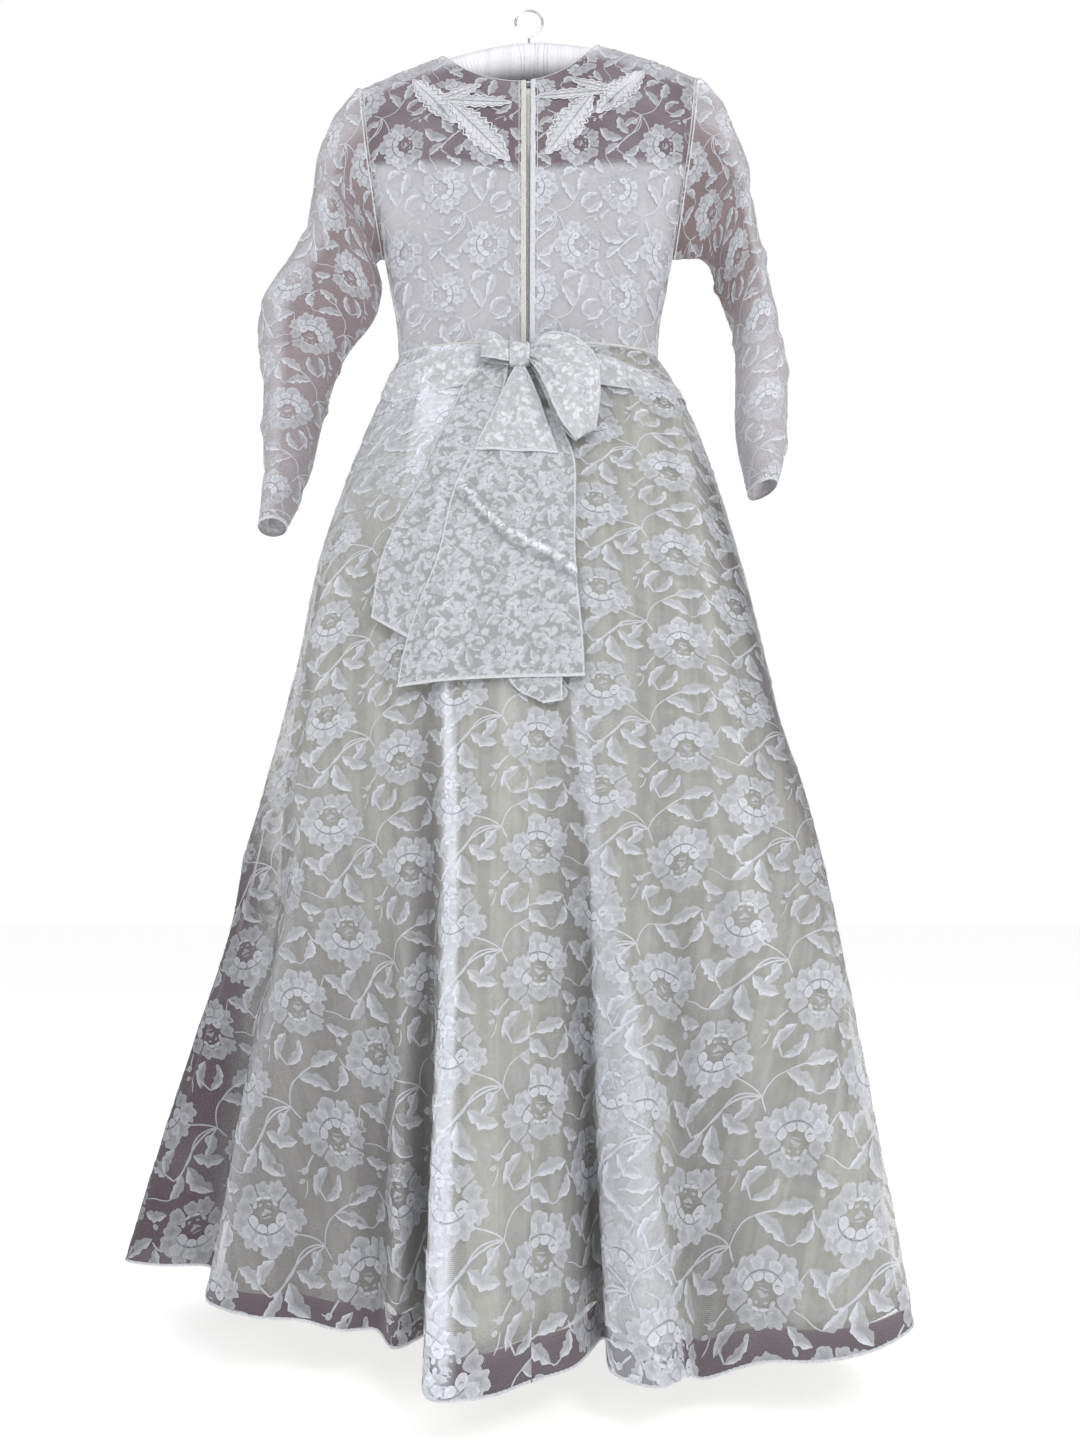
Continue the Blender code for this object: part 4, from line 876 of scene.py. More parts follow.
class Look:
    def __init__(self, name, **sockets):
        self.material = bpy.data.materials.new(name)
        self.material.use_nodes = True
        self.nodes, self.links = self.material.node_tree.nodes, self.material.node_tree.links
        self.shader = self.nodes["Principled BSDF"]
        for key, value in sockets.items():
            self.put(key.replace("_", " "), value)

    def put(self, name, value):
        self.join(self.shader.inputs[name], value)

    def join(self, socket, value):
        if isinstance(value, Wire):
            self.links.new(value.socket, socket)
        elif isinstance(value, (tuple, list)) and socket.type == "RGBA":
            socket.default_value = (*value, 1) if len(value) == 3 else value
        else:
            socket.default_value = value

    def node(self, kind, settings=None, inputs=None, out=0):
        made = self.nodes.new(kind)
        for key, value in (settings or {}).items():
            if key == "stops":
                for k, (place, colour) in enumerate(value):
                    stop = made.color_ramp.elements[k] if k < 2 else made.color_ramp.elements.new(place)
                    stop.position, stop.color = place, (*colour, 1)
            else:
                setattr(made, key, value)
        for key, value in (inputs or {}).items():
            self.join(made.inputs[key], value)
        return Wire(self, made.outputs[out])

    def maths(self, operation, *values):
        return self.node("ShaderNodeMath", dict(operation=operation), dict(enumerate(values)))

    def smooth(self, value, low, high):
        inputs = {"Value": value, "From Min": low, "From Max": high}
        return self.node("ShaderNodeMapRange", dict(interpolation_type="SMOOTHSTEP"), inputs)

    def blend(self, part, first, second, kind="MIX"):
        settings = dict(data_type="RGBA", blend_type=kind)
        return self.node("ShaderNodeMix", settings, {0: part, 6: first, 7: second}, 2)

    def value(self, name):
        return self.node("ShaderNodeAttribute", dict(attribute_name=name), None, "Fac")

    def flat(self):
        return self.node("ShaderNodeUVMap", dict(uv_map="flat"))

    def place(self):
        return self.node("ShaderNodeTexCoord", None, None, "Object")

    def stretched(self, vector, scale):
        return self.node("ShaderNodeMapping", None, {"Vector": vector, "Scale": scale})

    def noise(self, vector, scale, detail=3.0, rough=0.5):
        inputs = {"Vector": vector, "Scale": scale, "Detail": detail, "Roughness": rough}
        return self.node("ShaderNodeTexNoise", None, inputs)

    def shadedByFolds(self, colour, amount):
        # painted shade in the hollows of each fold, and painted light on its crest
        return self.blend(1.0, colour, self.value("fold") * amount + (1 - amount / 2), "MULTIPLY")

    def speckled(self, colour, vector, scale, detail, rough, amount, base):
        return self.blend(1.0, colour, self.noise(vector, scale, detail, rough) * amount + base, "MULTIPLY")

    def done(self, colour, rough, height, strength, distance):
        self.put("Base Color", colour)
        self.put("Roughness", rough)
        inputs = {"Height": height, "Strength": strength, "Distance": distance}
        self.put("Normal", self.node("ShaderNodeBump", None, inputs))
        return self.material

    def net(self, vector, pitch, thread):
        # six-sided mesh: 1 on a thread and 0 in a hole
        parts = self.nodes.new("ShaderNodeSeparateXYZ")
        self.links.new(vector.socket, parts.inputs[0])
        x, y = (Wire(self, parts.outputs[k]) * (1 / pitch) for k in (0, 1))
        tall = math.sqrt(3)
        ax = x.maths("FLOORED_MODULO", 1.0) - 0.5
        ay = y.maths("FLOORED_MODULO", tall) - tall / 2
        bx = (x - 0.5).maths("FLOORED_MODULO", 1.0) - 0.5
        by = (y - tall / 2).maths("FLOORED_MODULO", tall) - tall / 2
        second = (bx * bx + by * by).maths("LESS_THAN", ax * ax + ay * ay)
        gx, gy = ((a + (b - a) * second).maths("ABSOLUTE") for a, b in ((ax, bx), (ay, by)))
        distance = gx.maths("MAXIMUM", gx * 0.5 + gy * (tall / 2))
        return self.smooth(distance, 0.5 - thread, 0.5 - thread * 0.35)


net = dict(pitch=0.0016, thread=0.15, double=(0.66, 0.675, 0.71), cloud=(0.55, 0.52, 0.55))


def netFinish(name, clear, shaded, clearCover, shadedCover):
    # clear with a lining behind it; with none, shaded, a dark painted shade of the dress's inside, and less
    # see-through
    look = Look(name, Sheen_Weight=0.15, Specular_IOR_Level=0.2)
    # painted shade: the shaded colour where no lining is behind the net, where a fold would shade it, and
    # below the lining's hem
    sheerAndShade = look.value("sheerAndShade").maths("MAXIMUM", look.smooth(look.value("below"), 0.0005, 0.0025))
    grain = look.noise(look.flat(), 430.0, 2.0)
    threads = look.net(look.flat(), net["pitch"], net["thread"])
    cloudy = look.noise(look.flat(), 9.0)
    colour = look.blend(sheerAndShade, look.blend(threads, clear, [min(c * 1.35, 1) for c in clear]),
                        look.blend(threads, shaded, [c * 3.0 for c in shaded]))
    colour = look.blend(look.smooth(cloudy, 0.35, 0.75) * 0.22, colour, net["cloud"])
    clearCover = clearCover + look.smooth(look.noise(look.flat(), 70.0, 4.0, 0.7), 0.4, 0.75) * 0.3
    double = look.value("double")
    colour = look.blend(1.0, colour, grain * 0.7 + 0.65, "MULTIPLY")
    # painted fold shade over the net and its paler doubled parts
    colour = look.shadedByFolds(look.blend(double, colour, net["double"]), 0.85)
    cover = clearCover + sheerAndShade * (shadedCover - clearCover) + double * 0.6 + grain * 0.2 - 0.1
    look.put("Alpha", (cover + threads * (1 - cover) * 0.75).maths("MINIMUM", 1.0))
    return look.done(colour, 0.85, threads, 0.2, 0.0004)


def corded(name, low, high, seeThrough):
    # the solid parts of the lace: satin filling, with whiter corded edges
    look = Look(name, Sheen_Weight=0.25, Sheen_Roughness=0.5, Specular_IOR_Level=0.25)
    tone = look.value("tone")
    threads = look.noise(look.stretched(look.place(), (1.0, 1.0, 0.5)), 900.0, 2.0)
    patches = look.noise(look.place(), 22.0, 2.0)
    # the darkest tones are the open gaps between petals, given a painted shade colour
    gap = 1 - look.smooth(tone, 0.03, 0.18)
    colour = look.blend(gap, look.blend(tone, low, high), (0.27, 0.27, 0.27))
    colour = look.blend(look.smooth(threads, 0.35, 0.7) * 0.18, colour, [c * 0.7 for c in high])
    colour = look.blend(look.smooth(patches, 0.35, 0.8) * 0.12, colour, (0.88, 0.87, 0.93))
    # painted fold shade, as for the net
    colour = look.shadedByFolds(look.speckled(colour, look.place(), 320.0, 3.0, 0.7, 0.5, 0.76), 0.75)
    cover = seeThrough + tone * 0.75 + gap * 0.35 - look.smooth(threads, 0.5, 0.75) * 0.12
    look.put("Alpha", cover.maths("MINIMUM", 1.0))
    return look.done(colour, 0.7 + threads * 0.2, threads, 0.35, 0.0006)


def liningFinish():
    look = Look("ivory_lining", Sheen_Weight=0.1, Specular_IOR_Level=0.35)
    pleats = look.noise(look.stretched(look.flat(), (62.0, 1.6, 1.0)), 1.0, 3.0, 0.6)
    weave = look.noise(look.stretched(look.flat(), (1.0, 1.0, 1.0)), 1500.0, 1.0)
    # painted shade and light of the pressed pleats and the fine pleat lines, between a dark and a pale ivory,
    # and painted fold shade
    pleatShaded = look.value("pleatShade") + look.smooth(pleats, 0.36, 0.64) * 0.5 - 0.25
    colour = look.blend(pleatShaded, (0.37, 0.36, 0.315), (0.95, 0.94, 0.86))
    colour = look.blend(look.smooth(weave, 0.3, 0.7) * 0.10, colour, (0.52, 0.51, 0.47))
    colour = look.speckled(colour, look.stretched(look.flat(), (2.2, 1.0, 1.0)), 240.0, 3.0, 0.7, 0.5, 0.75)
    return look.done(look.shadedByFolds(colour, 0.5), 0.48 + pleats * 0.2, pleats + weave * 0.15, 0.35, 0.004)


def bodiceLiningFinish():
    look = Look("white_lining", Sheen_Weight=0.1, Specular_IOR_Level=0.35)
    creased = look.noise(look.stretched(look.flat(), (14.0, 9.0, 1.0)), 1.0, 4.0, 0.6)
    weave = look.noise(look.flat(), 1500.0, 1.0)
    # the colour darker in the creases: painted shade, besides their bump
    colour = look.blend(look.smooth(creased, 0.30, 0.72), (0.60, 0.60, 0.605), (0.76, 0.76, 0.775))
    colour = look.blend(look.smooth(weave, 0.3, 0.7) * 0.10, colour, (0.60, 0.60, 0.60))
    return look.done(colour, 0.5 + creased * 0.2, creased + weave * 0.1, 0.3, 0.003)


def bowFinish(name, light, dark):
    # doubled lace: the second layer shows through as a softer, closer ground
    look = Look(name, Sheen_Weight=0.2, Specular_IOR_Level=0.25)
    threads = look.net(look.flat(), 0.0019, 0.17)
    cells = look.node("ShaderNodeTexVoronoi", dict(feature="SMOOTH_F1"),
                      {"Vector": look.flat(), "Scale": 110.0, "Smoothness": 0.2})
    shapes = look.smooth(cells + look.noise(look.flat(), 190.0) * 0.9, 0.80, 1.02)
    look.put("Alpha", 0.99 - shapes * 0.06)
    colour = look.blend(threads * 0.4, look.blend(shapes, light, dark), [c * 1.08 for c in light])
    # painted fold shade
    return look.done(look.shadedByFolds(colour, 0.5), 0.8, threads * 0.4 - shapes, 0.25, 0.0008)


def edgeFinish(name, colour, shade):
    look = Look(name, Sheen_Weight=0.25, Specular_IOR_Level=0.25)
    twist = look.noise(look.place(), 420.0, 2.0)
    colour = look.blend(look.smooth(twist, 0.35, 0.7), colour, shade)
    return look.done(colour, 0.6 + twist * 0.25, twist, 0.4, 0.0006)


def satinFinish():
    look = Look("hanger_satin", Sheen_Weight=0.2, Specular_IOR_Level=0.5)
    weave = look.noise(look.stretched(look.place(), (1.0, 1.0, 6.0)), 700.0, 2.0)
    shadedFolds = look.noise(look.stretched(look.place(), (60.0, 6.0, 6.0)), 1.0, 3.0)
    # the colour darker in the satin's folds: painted shade, besides their bump
    colour = look.blend(look.smooth(shadedFolds, 0.3, 0.7), (0.84, 0.82, 0.86), (0.96, 0.95, 0.98))
    colour = look.blend(weave * 0.12, colour, (0.66, 0.63, 0.70))
    return look.done(colour, 0.28 + weave * 0.2, shadedFolds + weave * 0.1, 0.25, 0.002)


def metalFinish(name):
    look = Look(name, Metallic=1.0)
    scratches = look.noise(look.stretched(look.place(), (1.0, 1.0, 0.15)), 800.0, 3.0)
    tarnish = look.noise(look.place(), 120.0, 3.0)
    colour = look.blend(look.smooth(tarnish, 0.45, 0.75), (0.78, 0.78, 0.80), (0.60, 0.59, 0.58))
    return look.done(colour, 0.18 + scratches * 0.2 + tarnish * 0.1, scratches, 0.1, 0.0002)


def tapeFinish():
    look = Look("zip_tape_weave", Sheen_Weight=0.1)
    bands = look.node("ShaderNodeTexWave", dict(wave_type="BANDS", bands_direction="DIAGONAL"),
                      {"Vector": look.flat(), "Scale": 900.0, "Distortion": 0.6}, "Fac")
    colour = look.blend(bands, (0.70, 0.69, 0.64), (0.86, 0.85, 0.80))
    return look.done(colour, 0.6 + bands * 0.15, bands, 0.3, 0.0003)


finishes = dict(
    # the second colour of each net is a painted shade: the dark inside of the dress seen through it
    net=netFinish("lace_net", (0.50, 0.505, 0.50), (0.115, 0.092, 0.106), 0.16, 0.95),
    bodiceNet=netFinish("bodice_net", (0.50, 0.50, 0.535), (0.10, 0.08, 0.092), 0.16, 0.94),
    sleeveNet=netFinish("sleeve_net", (0.47, 0.455, 0.475), (0.175, 0.137, 0.142), 0.70, 0.92),
    motif=corded("lace_cord", (0.54, 0.555, 0.58), (0.82, 0.84, 0.895), 0.20),
    leaf=corded("leaf_cord", (0.46, 0.47, 0.49), (0.73, 0.735, 0.77), 0.66),
    bowMotif=corded("bow_lace_cord", (0.66, 0.675, 0.705), (0.84, 0.855, 0.90), 0.18),
    lining=liningFinish(),
    bodiceLining=bodiceLiningFinish(),
    bow=bowFinish("doubled_lace", (0.66, 0.68, 0.715), (0.39, 0.395, 0.40)),
    bowWhite=bowFinish("fourfold_lace", (0.83, 0.84, 0.875), (0.545, 0.55, 0.56)),
    edge=edgeFinish("rolled_edge", (0.80, 0.81, 0.84), (0.66, 0.67, 0.70)),
    seam=edgeFinish("seam_edge", (0.76, 0.76, 0.74), (0.60, 0.60, 0.58)),
    placketLeft=edgeFinish("placket_ivory", (0.72, 0.71, 0.69), (0.58, 0.57, 0.55)),
    placketRight=edgeFinish("placket_white", (0.74, 0.75, 0.79), (0.62, 0.63, 0.68)),
    satin=satinFinish(),
    hook=metalFinish("hook_steel"),
    slider=metalFinish("slider_metal"),
    tape=tapeFinish(),
    teeth=edgeFinish("zip_coil", (0.80, 0.80, 0.78), (0.62, 0.62, 0.60)),
    snap=metalFinish("snap_metal"),
)
print("finishes made")


class Trim(Gathering):
    # narrow bands, rolls and piping
    def band(self, panel, s, v, width, height, crown, across=4, scallop=0.0, pitch=0.006):
        # along flat points s, v of a panel; the middle stands crown higher than its edges
        s, v = np.broadcast_arrays(np.asarray(s, float), np.asarray(v, float))
        strip, corners = unitGrid(len(s) - 1, across)
        k, count = (corners[:, 0] + 0.5) * (len(s) - 1), np.arange(len(s))
        ds, dv = np.gradient(s), np.gradient(v)
        size = np.maximum(np.hypot(ds, dv), 1e-9)
        length = np.concatenate([[0], np.cumsum(np.hypot(np.diff(s), np.diff(v)))])
        wave = 1 + scallop * np.sin(math.pi * np.interp(k, count, length) / pitch) ** 2
        aside = corners[:, 1] * width * wave
        i, j, _ = panel.locate(np.interp(k, count, s) - np.interp(k, count, dv / size) * aside,
                               np.interp(k, count, v) + np.interp(k, count, ds / size) * aside)
        self.add(panel.raised(i, j, height + crown * (1 - (2 * corners[:, 1]) ** 2)), facesOf(strip))


def alongRow(panel, v, count, ends=(0.0, 1.0)):
    # flat points across a panel at one distance down
    j = np.interp(v, panel.fall, np.arange(len(panel.fall)))
    row = min(int(j), len(panel.fall) - 2)
    low = mixed(panel.arc[0, row], panel.arc[0, row + 1], j - row)
    high = mixed(panel.arc[-1, row], panel.arc[-1, row + 1], j - row)
    return np.linspace(mixed(low, high, ends[0]), mixed(low, high, ends[1]), count), np.full(count, v)


def alongEdge(panel, last, inset, count):
    # flat points down one side edge of a panel
    v = np.linspace(0, panel.fall[-1], count)
    edge = np.interp(v, panel.fall, panel.arc[-1 if last else 0])
    return edge - inset if last else edge + inset, v


# ---- the skirt: lace over its lining
skirtFineness = dict(across=7, down=96, liningAcross=9, liningDown=40)
backEnds = dict(left=hemRow["leftSide"] - hemCount, right=hemRow["rightSide"])
frontEnds = (hemRow["rightSide"], hemRow["leftSide"])


def gathers(depth, count, reach):
    # fine gathers below the waist seam, uneven, fading down the skirt
    def swell(panel):
        turn = readHem(panel.gridA, "turn")
        drop = panel.gridB
        phase = turn * count * math.tau + 1.7 * np.sin(turn * 23) + 0.9 * np.sin(turn * 61 + 2)
        strength = 0.6 + 0.4 * np.sin(turn * 37 + 1.3)
        fade = np.exp(-drop / (reach * (0.7 + 0.5 * np.sin(turn * 83) ** 2)))
        start = eased(drop / 0.012)
        return depth * strength * fade * start * np.sin(phase)
    return swell


# from x, down to x, down, half width and height of the cloth's soft creases
backRightCreases = table(6,
    "35 30 60 420 10 4, 62 20 115 360 9 3.5, 95 20 165 500 12 4.5, 120 30 260 620 14 5, "
    "140 100 330 900 20 6, 125 300 400 1020 22 -4, 80 450 240 1040 16 5, 150 550 480 1040 22 6")
backLeftCreases = table(6,
    "-30 30 -50 300 10 3.5, -70 30 -110 450 10 4, -100 20 -190 520 13 4.5, -130 80 -300 800 18 5, "
    "-150 200 -420 1020 20 5, -110 400 -330 1040 16 -4, -170 450 -620 1040 24 6, -10 350 -20 950 22 3")
frontCreases = table(6,
    "-120 30 -300 600 14 4.5, -60 20 -120 500 12 4, -10 40 20 700 14 4.5, 50 20 150 550 12 4, "
    "110 30 330 750 16 5, -160 150 -520 1020 22 5.5, 150 150 560 1020 22 5.5, -30 400 -200 1040 18 -4, "
    "60 400 260 1040 18 -4")


def skirtPanel(form, ends, across, down, creases, swell):
    # the front is measured from its middle, the back from centre back
    zero = sum(ends) / 2 if ends == frontEnds else 0.0
    return Panel(form, ends, (0, 1), -1, across, down, zero, creases, True, swell)


laceSwell, liningSwell = gathers(0.0016, 95, 0.10), gathers(0.0014, 120, 0.35)
lacePanels = {
    "skirt_back_right": skirtPanel(skirtPoint, (0, backEnds["right"]), 300, 110, backRightCreases, laceSwell),
    "skirt_back_left": skirtPanel(skirtPoint, (backEnds["left"], 0), 300, 110, backLeftCreases, laceSwell),
    "skirt_front": skirtPanel(skirtPoint, frontEnds, 360, 110, frontCreases, laceSwell),
}


def hump(place, middle, width):
    return np.exp(-((place - middle) / width) ** 2)


def skirtSheerAndShade(panel):
    # where no lining lies close behind the lace, and painted shade where a fold would shade it, in the
    # recesses and over the lower left
    drop, place = panel.gridB, panel.gridA
    spread = np.maximum(drop - skirt["pullStart"], 0) / (1 - skirt["pullStart"])
    side = eased(readHem(place, "pull") * spread ** 1.3 / 0.034)
    strip = 0.8 * hump(place, hemRow["rightTurn"] - 0.5, 0.9)
    strip = strip * eased((drop - 0.08) / 0.15) * eased((0.80 - drop) / 0.3)
    shade = 0.34 * eased((drop - 0.42) / 0.5) * eased((-place - 3.2) / 1.5)
    for middle, width, start, depth in ((-3.1, 0.8, 0.3, 0.42), (1.7, 0.9, 0.35, 0.24), (6.6, 0.8, 0.5, 0.2)):
        shade = np.maximum(shade, depth * hump(place, middle, width) * eased((drop - start) / 0.3))
    return np.clip(np.maximum.reduce([side, strip, shade]), 0, 1)


# where the cloth turns back on itself at a fold: drop, and the first and last place across
turnedBack = {
    "skirt_back_right": rowsOf(
        "drop first last",
        ".44 2 2.5, .5 2.2 3, .57 2.55 3.2, .61 2.65 3.45, .68 2.7 3.75, .73 2.7 4.2, .78 2.65 4.5, "
        ".85 2.5 4.5, .93 2.65 4.8, 1 2.8 5", 1),
    "skirt_back_left": rowsOf(
        "drop first last",
        ".42 -2.35 -2.2, .55 -2.3 -1.9, .75 -2.25 -1.8, .9 -2.2 -1.75, 1 -2.15 -1.7", 1),
}


def doubled(node, place, drop, soft=0.10):
    if node not in turnedBack:
        return np.zeros(np.shape(place))
    rows = turnedBack[node]
    first, last = readRows(rows, "drop", drop, "first"), readRows(rows, "drop", drop, "last")
    fold = eased((place - first) / soft + 0.5) * eased((last - place) / (3 * soft) + 0.5)
    fold = fold * (drop > rows["drop"][0])
    pale = 0.8 * eased(1.15 - drop / 0.3) * eased((-0.5 - place) / 2)
    turned = 0.5 * hump(place, -9.15, 0.38) * eased((drop - 0.45) / 0.3)
    return np.maximum.reduce([fold, pale, turned]) if node == "skirt_back_left" else fold


for node, panel in lacePanels.items():
    across = round(abs(panel.a[-1] - panel.a[0]) * skirtFineness["across"])
    sheerAndShade, double = skirtSheerAndShade(panel), doubled(node, panel.gridA, panel.gridB)
    below = (panel.gridB - 1) * waistHeight + skirtLiningShort(panel.gridA) + 0.005
    # painted fold shade: darker where see-through, painted lighter where the lace is doubled (most on the
    # back left), and on the net darker still below the lining's hem
    bright = double * (panel.gridA > -6)
    dim = np.minimum(1.5 * sheerAndShade, 0.95) * (1 - bright)
    lit = (0.60 if node == "skirt_back_left" else 0.08) * bright
    shadedFolds = np.clip(panel.shadedFolds * (1 - dim) + lit, 0, 1)
    panel.shadedFolds = shadedFolds * (1 - 0.85 * eased(below / 0.012 + 0.5))
    thick = double * (1.0 if node == "skirt_back_left" else 0.75)
    values = {"sheerAndShade": sheerAndShade * (1 - 0.6 * double), "double": thick, "below": below}
    shell(node + "_net", panel, finishes["net"], "lace", across, skirtFineness["down"], values)
    panel.shadedFolds = shadedFolds
    shift = (0.012, 0.0) if node == "skirt_front" else (-0.030, -0.040)
    laceOn(node + "_lace", panel, finishes["motif"], "lace", shift)
    if node in turnedBack:
        laceOn(node + "_lace_fold", panel, finishes["motif"], "lace", (0.021, 0.033), behind=-0.0006,
               keep=lambda i, j: doubled(node, *panel.valuesAt(i, j)) > 0.5)
    hemRoll = Trim()
    s, v = alongRow(panel, panel.fall[-1] - 0.0010, 420, (0.001, 0.999))
    hemRoll.band(panel, s, v, 0.0028, 0.0002, 0.0007, scallop=0.25, pitch=0.0052)
    hemRoll.made(node + "_hem", finishes["edge"], "lace")
print("skirt lace made")

backs = (backEnds["left"], backEnds["right"])
liningPanels = {
    "skirt_lining_back": skirtPanel(skirtLiningPoint, backs, 420, 70, (), liningSwell),
    "skirt_lining_front": skirtPanel(skirtLiningPoint, frontEnds, 300, 70, (), liningSwell),
}
# broad pleats pressed into the lining, drawn only as painted shade and light: place across, and how pale
pleatShadeRows = rowsOf(
    "place tone",
    "-21 .5, -14 .45, -9 .4, -7.2 .3, -7 .55, -6.2 .55, -6 .3, -5 .42, -4.9 .28, -4 .35, -3.2 .12, -2.2 .15, "
    "-2 .42, -.75 .46, -.65 .78, .35 .82, .5 .34, 1.5 .18, 2.6 .16, 2.8 .45, 4.2 .5, 4.4 .36, 5.6 .44, "
    "6.2 .24, 7 .42, 7.1 .58, 8.2 .48, 8.4 .36, 10 .42, 14 .5, 15.2 .38, 17 .56, 19 .42, 21 .5, 24 .4, "
    "27 .55, 29 .42", 1)
for node, panel in liningPanels.items():
    # near the waist the painted pleat shade is pale left of centre back and dark elsewhere
    near = eased(1 - panel.gridB / 0.36)
    pleatShade = 0.62 * np.interp(panel.gridA, pleatShadeRows["place"], pleatShadeRows["tone"])
    across = round((panel.a[-1] - panel.a[0]) * skirtFineness["liningAcross"])
    shell(node + "_cloth", panel, finishes["lining"], "lining", across, skirtFineness["liningDown"],
          {"pleatShade": mixed(pleatShade, np.where(panel.gridA < 1, 1.1, 0.25), near)}, thickness=0.0011)
print("skirt lining made")


# ---- the bodice
bodice = dict(openingTurn=0.0011, laceTop=1.530, liningInset=dress["wall"] + 0.0020)
bodiceCreases = {
    "bodice_back_left": table(6,
        "-20 10 -150 60 6 2.2, -40 30 -160 85 7 -1.8, -60 90 -170 150 9 1.6, -150 20 -140 230 8 1.4, "
        "-80 150 -175 200 10 -1.4, -30 230 -120 260 12 1"),
    "bodice_back_right": table(6,
        "25 12 140 30 6 1.8, 120 20 160 140 8 -1.6, 150 60 170 240 8 1.4, 60 120 165 170 10 1.4, "
        "40 210 150 250 12 -1"),
    "bodice_front": table(6,
        "-110 20 -85 140 6 -1.6, 110 20 85 140 6 -1.6, -170 120 -110 165 7 -1.6, 170 120 110 165 7 -1.6, "
        "-40 180 60 205 12 1.2, -30 260 90 290 12 1.2"),
}
bodiceEnds = {
    "bodice_back_right": (bodice["openingTurn"], dress["sideTurn"], 0.0),
    "bodice_back_left": (-dress["sideTurn"], -bodice["openingTurn"], 0.0),
    "bodice_front": (0.5 - dress["sideTurn"], 0.5 + dress["sideTurn"], 0.5),
}
bodicePanels, yokePanels = {}, {}
for node, (start, end, zero) in bodiceEnds.items():
    creases = bodiceCreases[node]
    anchor = min(max(zero, start), end)
    panel = bodicePanels[node] = Panel(bodicePlace, (start, end), (0, 1), 1, 160, 150, anchor, creases)
    marks = Panel(bodicePoint, (start, end), (waistHeight, bodice["laceTop"]), 1, 200, 190, anchor,
                  creases)
    yokePanels[node] = marks

    def aboveLining(cloth):
        front = np.cos(cloth.gridA * math.tau) < 0
        return cloth.points[..., 2] + hookHeight - liningTop(turnedX(cloth.gridA), front)

    # painted shade of the dress's inside where no lining is behind the net, less where the pad is behind it;
    # the lace there gets painted fold shade too
    height = panel.points[..., 2] + hookHeight
    overPad = eased((height + 0.040 - shoulderHeight(panel.points[..., 0])) / 0.014)
    shell(node + "_net", panel, finishes["bodiceNet"], "lace", 110 if node == "bodice_front" else 56, 110,
          {"sheerAndShade": eased((aboveLining(panel) + 0.002) / 0.006) * (1 - 0.8 * overPad)})
    marks.shadedFolds = marks.shadedFolds * (1 - 0.45 * eased(aboveLining(marks) / 0.010))

    def belowTop(i, j):
        turn, tall = marks.valuesAt(i, j)
        return tall < topHeight(turnedX(turn), np.cos(turn * math.tau) < 0) - 0.001

    shift = (0.0, 0.0) if node == "bodice_front" else (0.030, 0.034)
    laceOn(node + "_lace", marks, finishes["motif"], "lace", shift, turned=True, scale=0.94, keep=belowTop)

for node, (start, end, zero) in bodiceEnds.items():
    inner = bodice["openingTurn"] * 1.6
    start = inner if node == "bodice_back_right" else start
    end = -inner if node == "bodice_back_left" else end
    panel = Panel(lambda turn, rise: bodicePlace(turn, rise, True, bodice["liningInset"]), (start, end),
                  (0, 1), 1, 90, 50, min(max(zero, start), end))
    name = node.replace("bodice", "bodice_lining")
    shell(name + "_cloth", panel, finishes["bodiceLining"], "lining", 60, 30, thickness=0.0010)
    liningPanels[name] = panel
print("bodice made")


# ---- the sleeves
sleeveCreases = {
    "right": table(6,
        "20 60 160 110 8 4, 60 100 230 160 9 -3.5, 30 170 170 215 8 4.2, 110 200 260 260 9 3.6, "
        "30 260 150 300 8 -3.6, 60 330 220 370 9 3.4, 20 400 130 440 8 3, 140 430 120 520 8 2.4, "
        "260 80 330 200 10 3.6, 280 260 340 380 10 3.2, 250 400 300 500 9 -2.6"),
    "left": table(6,
        "20 60 170 120 8 4.2, 60 110 230 180 10 -3.6, 20 190 170 250 9 5, 80 230 240 290 10 -4.5, "
        "20 270 160 330 9 5, 120 300 270 350 9 4, 30 360 150 410 8 3.4, 60 440 200 480 8 -2.8, "
        "260 90 340 210 10 3.8, 280 270 350 390 10 3.4, 250 420 310 520 9 2.8"),
}
sleevePanels = {}
for side in ("right", "left"):
    node = "sleeve_" + side
    facing = -1 if side == "right" else 1
    last = len(sleeveRings[side]["depth"]) + 1
    panel = Panel(lambda angle, ring: sleevePoint(side, angle, ring), (0, math.tau), (0, last), facing,
                  140, 150, 0.0, sleeveCreases[side])
    panel.points[-1], panel.normals[-1] = panel.points[0], panel.normals[0]
    sleevePanels[node] = panel
    # painted shade on the side towards the bodice, pale beyond a fold; the lace's fold shade is painted
    # darker there too
    along, turned = panel.gridB / last, np.minimum(panel.gridA, math.tau - panel.gridA)
    inner = 0.12 + 0.88 * eased((2.15 - 0.35 * along - turned) / 0.35)
    sheerAndShade = inner * (eased((0.70 - along) / 0.25) if side == "right" else 0.85 * eased((1.25 - along) / 0.8))
    panel.shadedFolds = np.clip(panel.shadedFolds * (1 - 0.6 * sheerAndShade), 0, 1)
    shell(node + "_net", panel, finishes["sleeveNet"], "lace", 96, 120, {"sheerAndShade": sheerAndShade}, weld=True)
    laceOn(node + "_lace", panel, finishes["motif"], "lace", (0.02, -0.03), scale=0.92)
    cuff = Trim()
    end = panel.fall[-1]
    for down, count, width, height, crown in ((end - 0.0022, 90, 0.0046, 0.0002, 0.0008),
                                              (end - 0.0120, 90, 0.0012, 0.0003, 0.0005),
                                              (0.0030, 120, 0.0016, 0.0002, 0.0005)):
        cuff.band(panel, *alongRow(panel, down, count), width, height, crown)
    cuff.made(node + "_seams", finishes["edge"], "lace")
print("sleeves made")


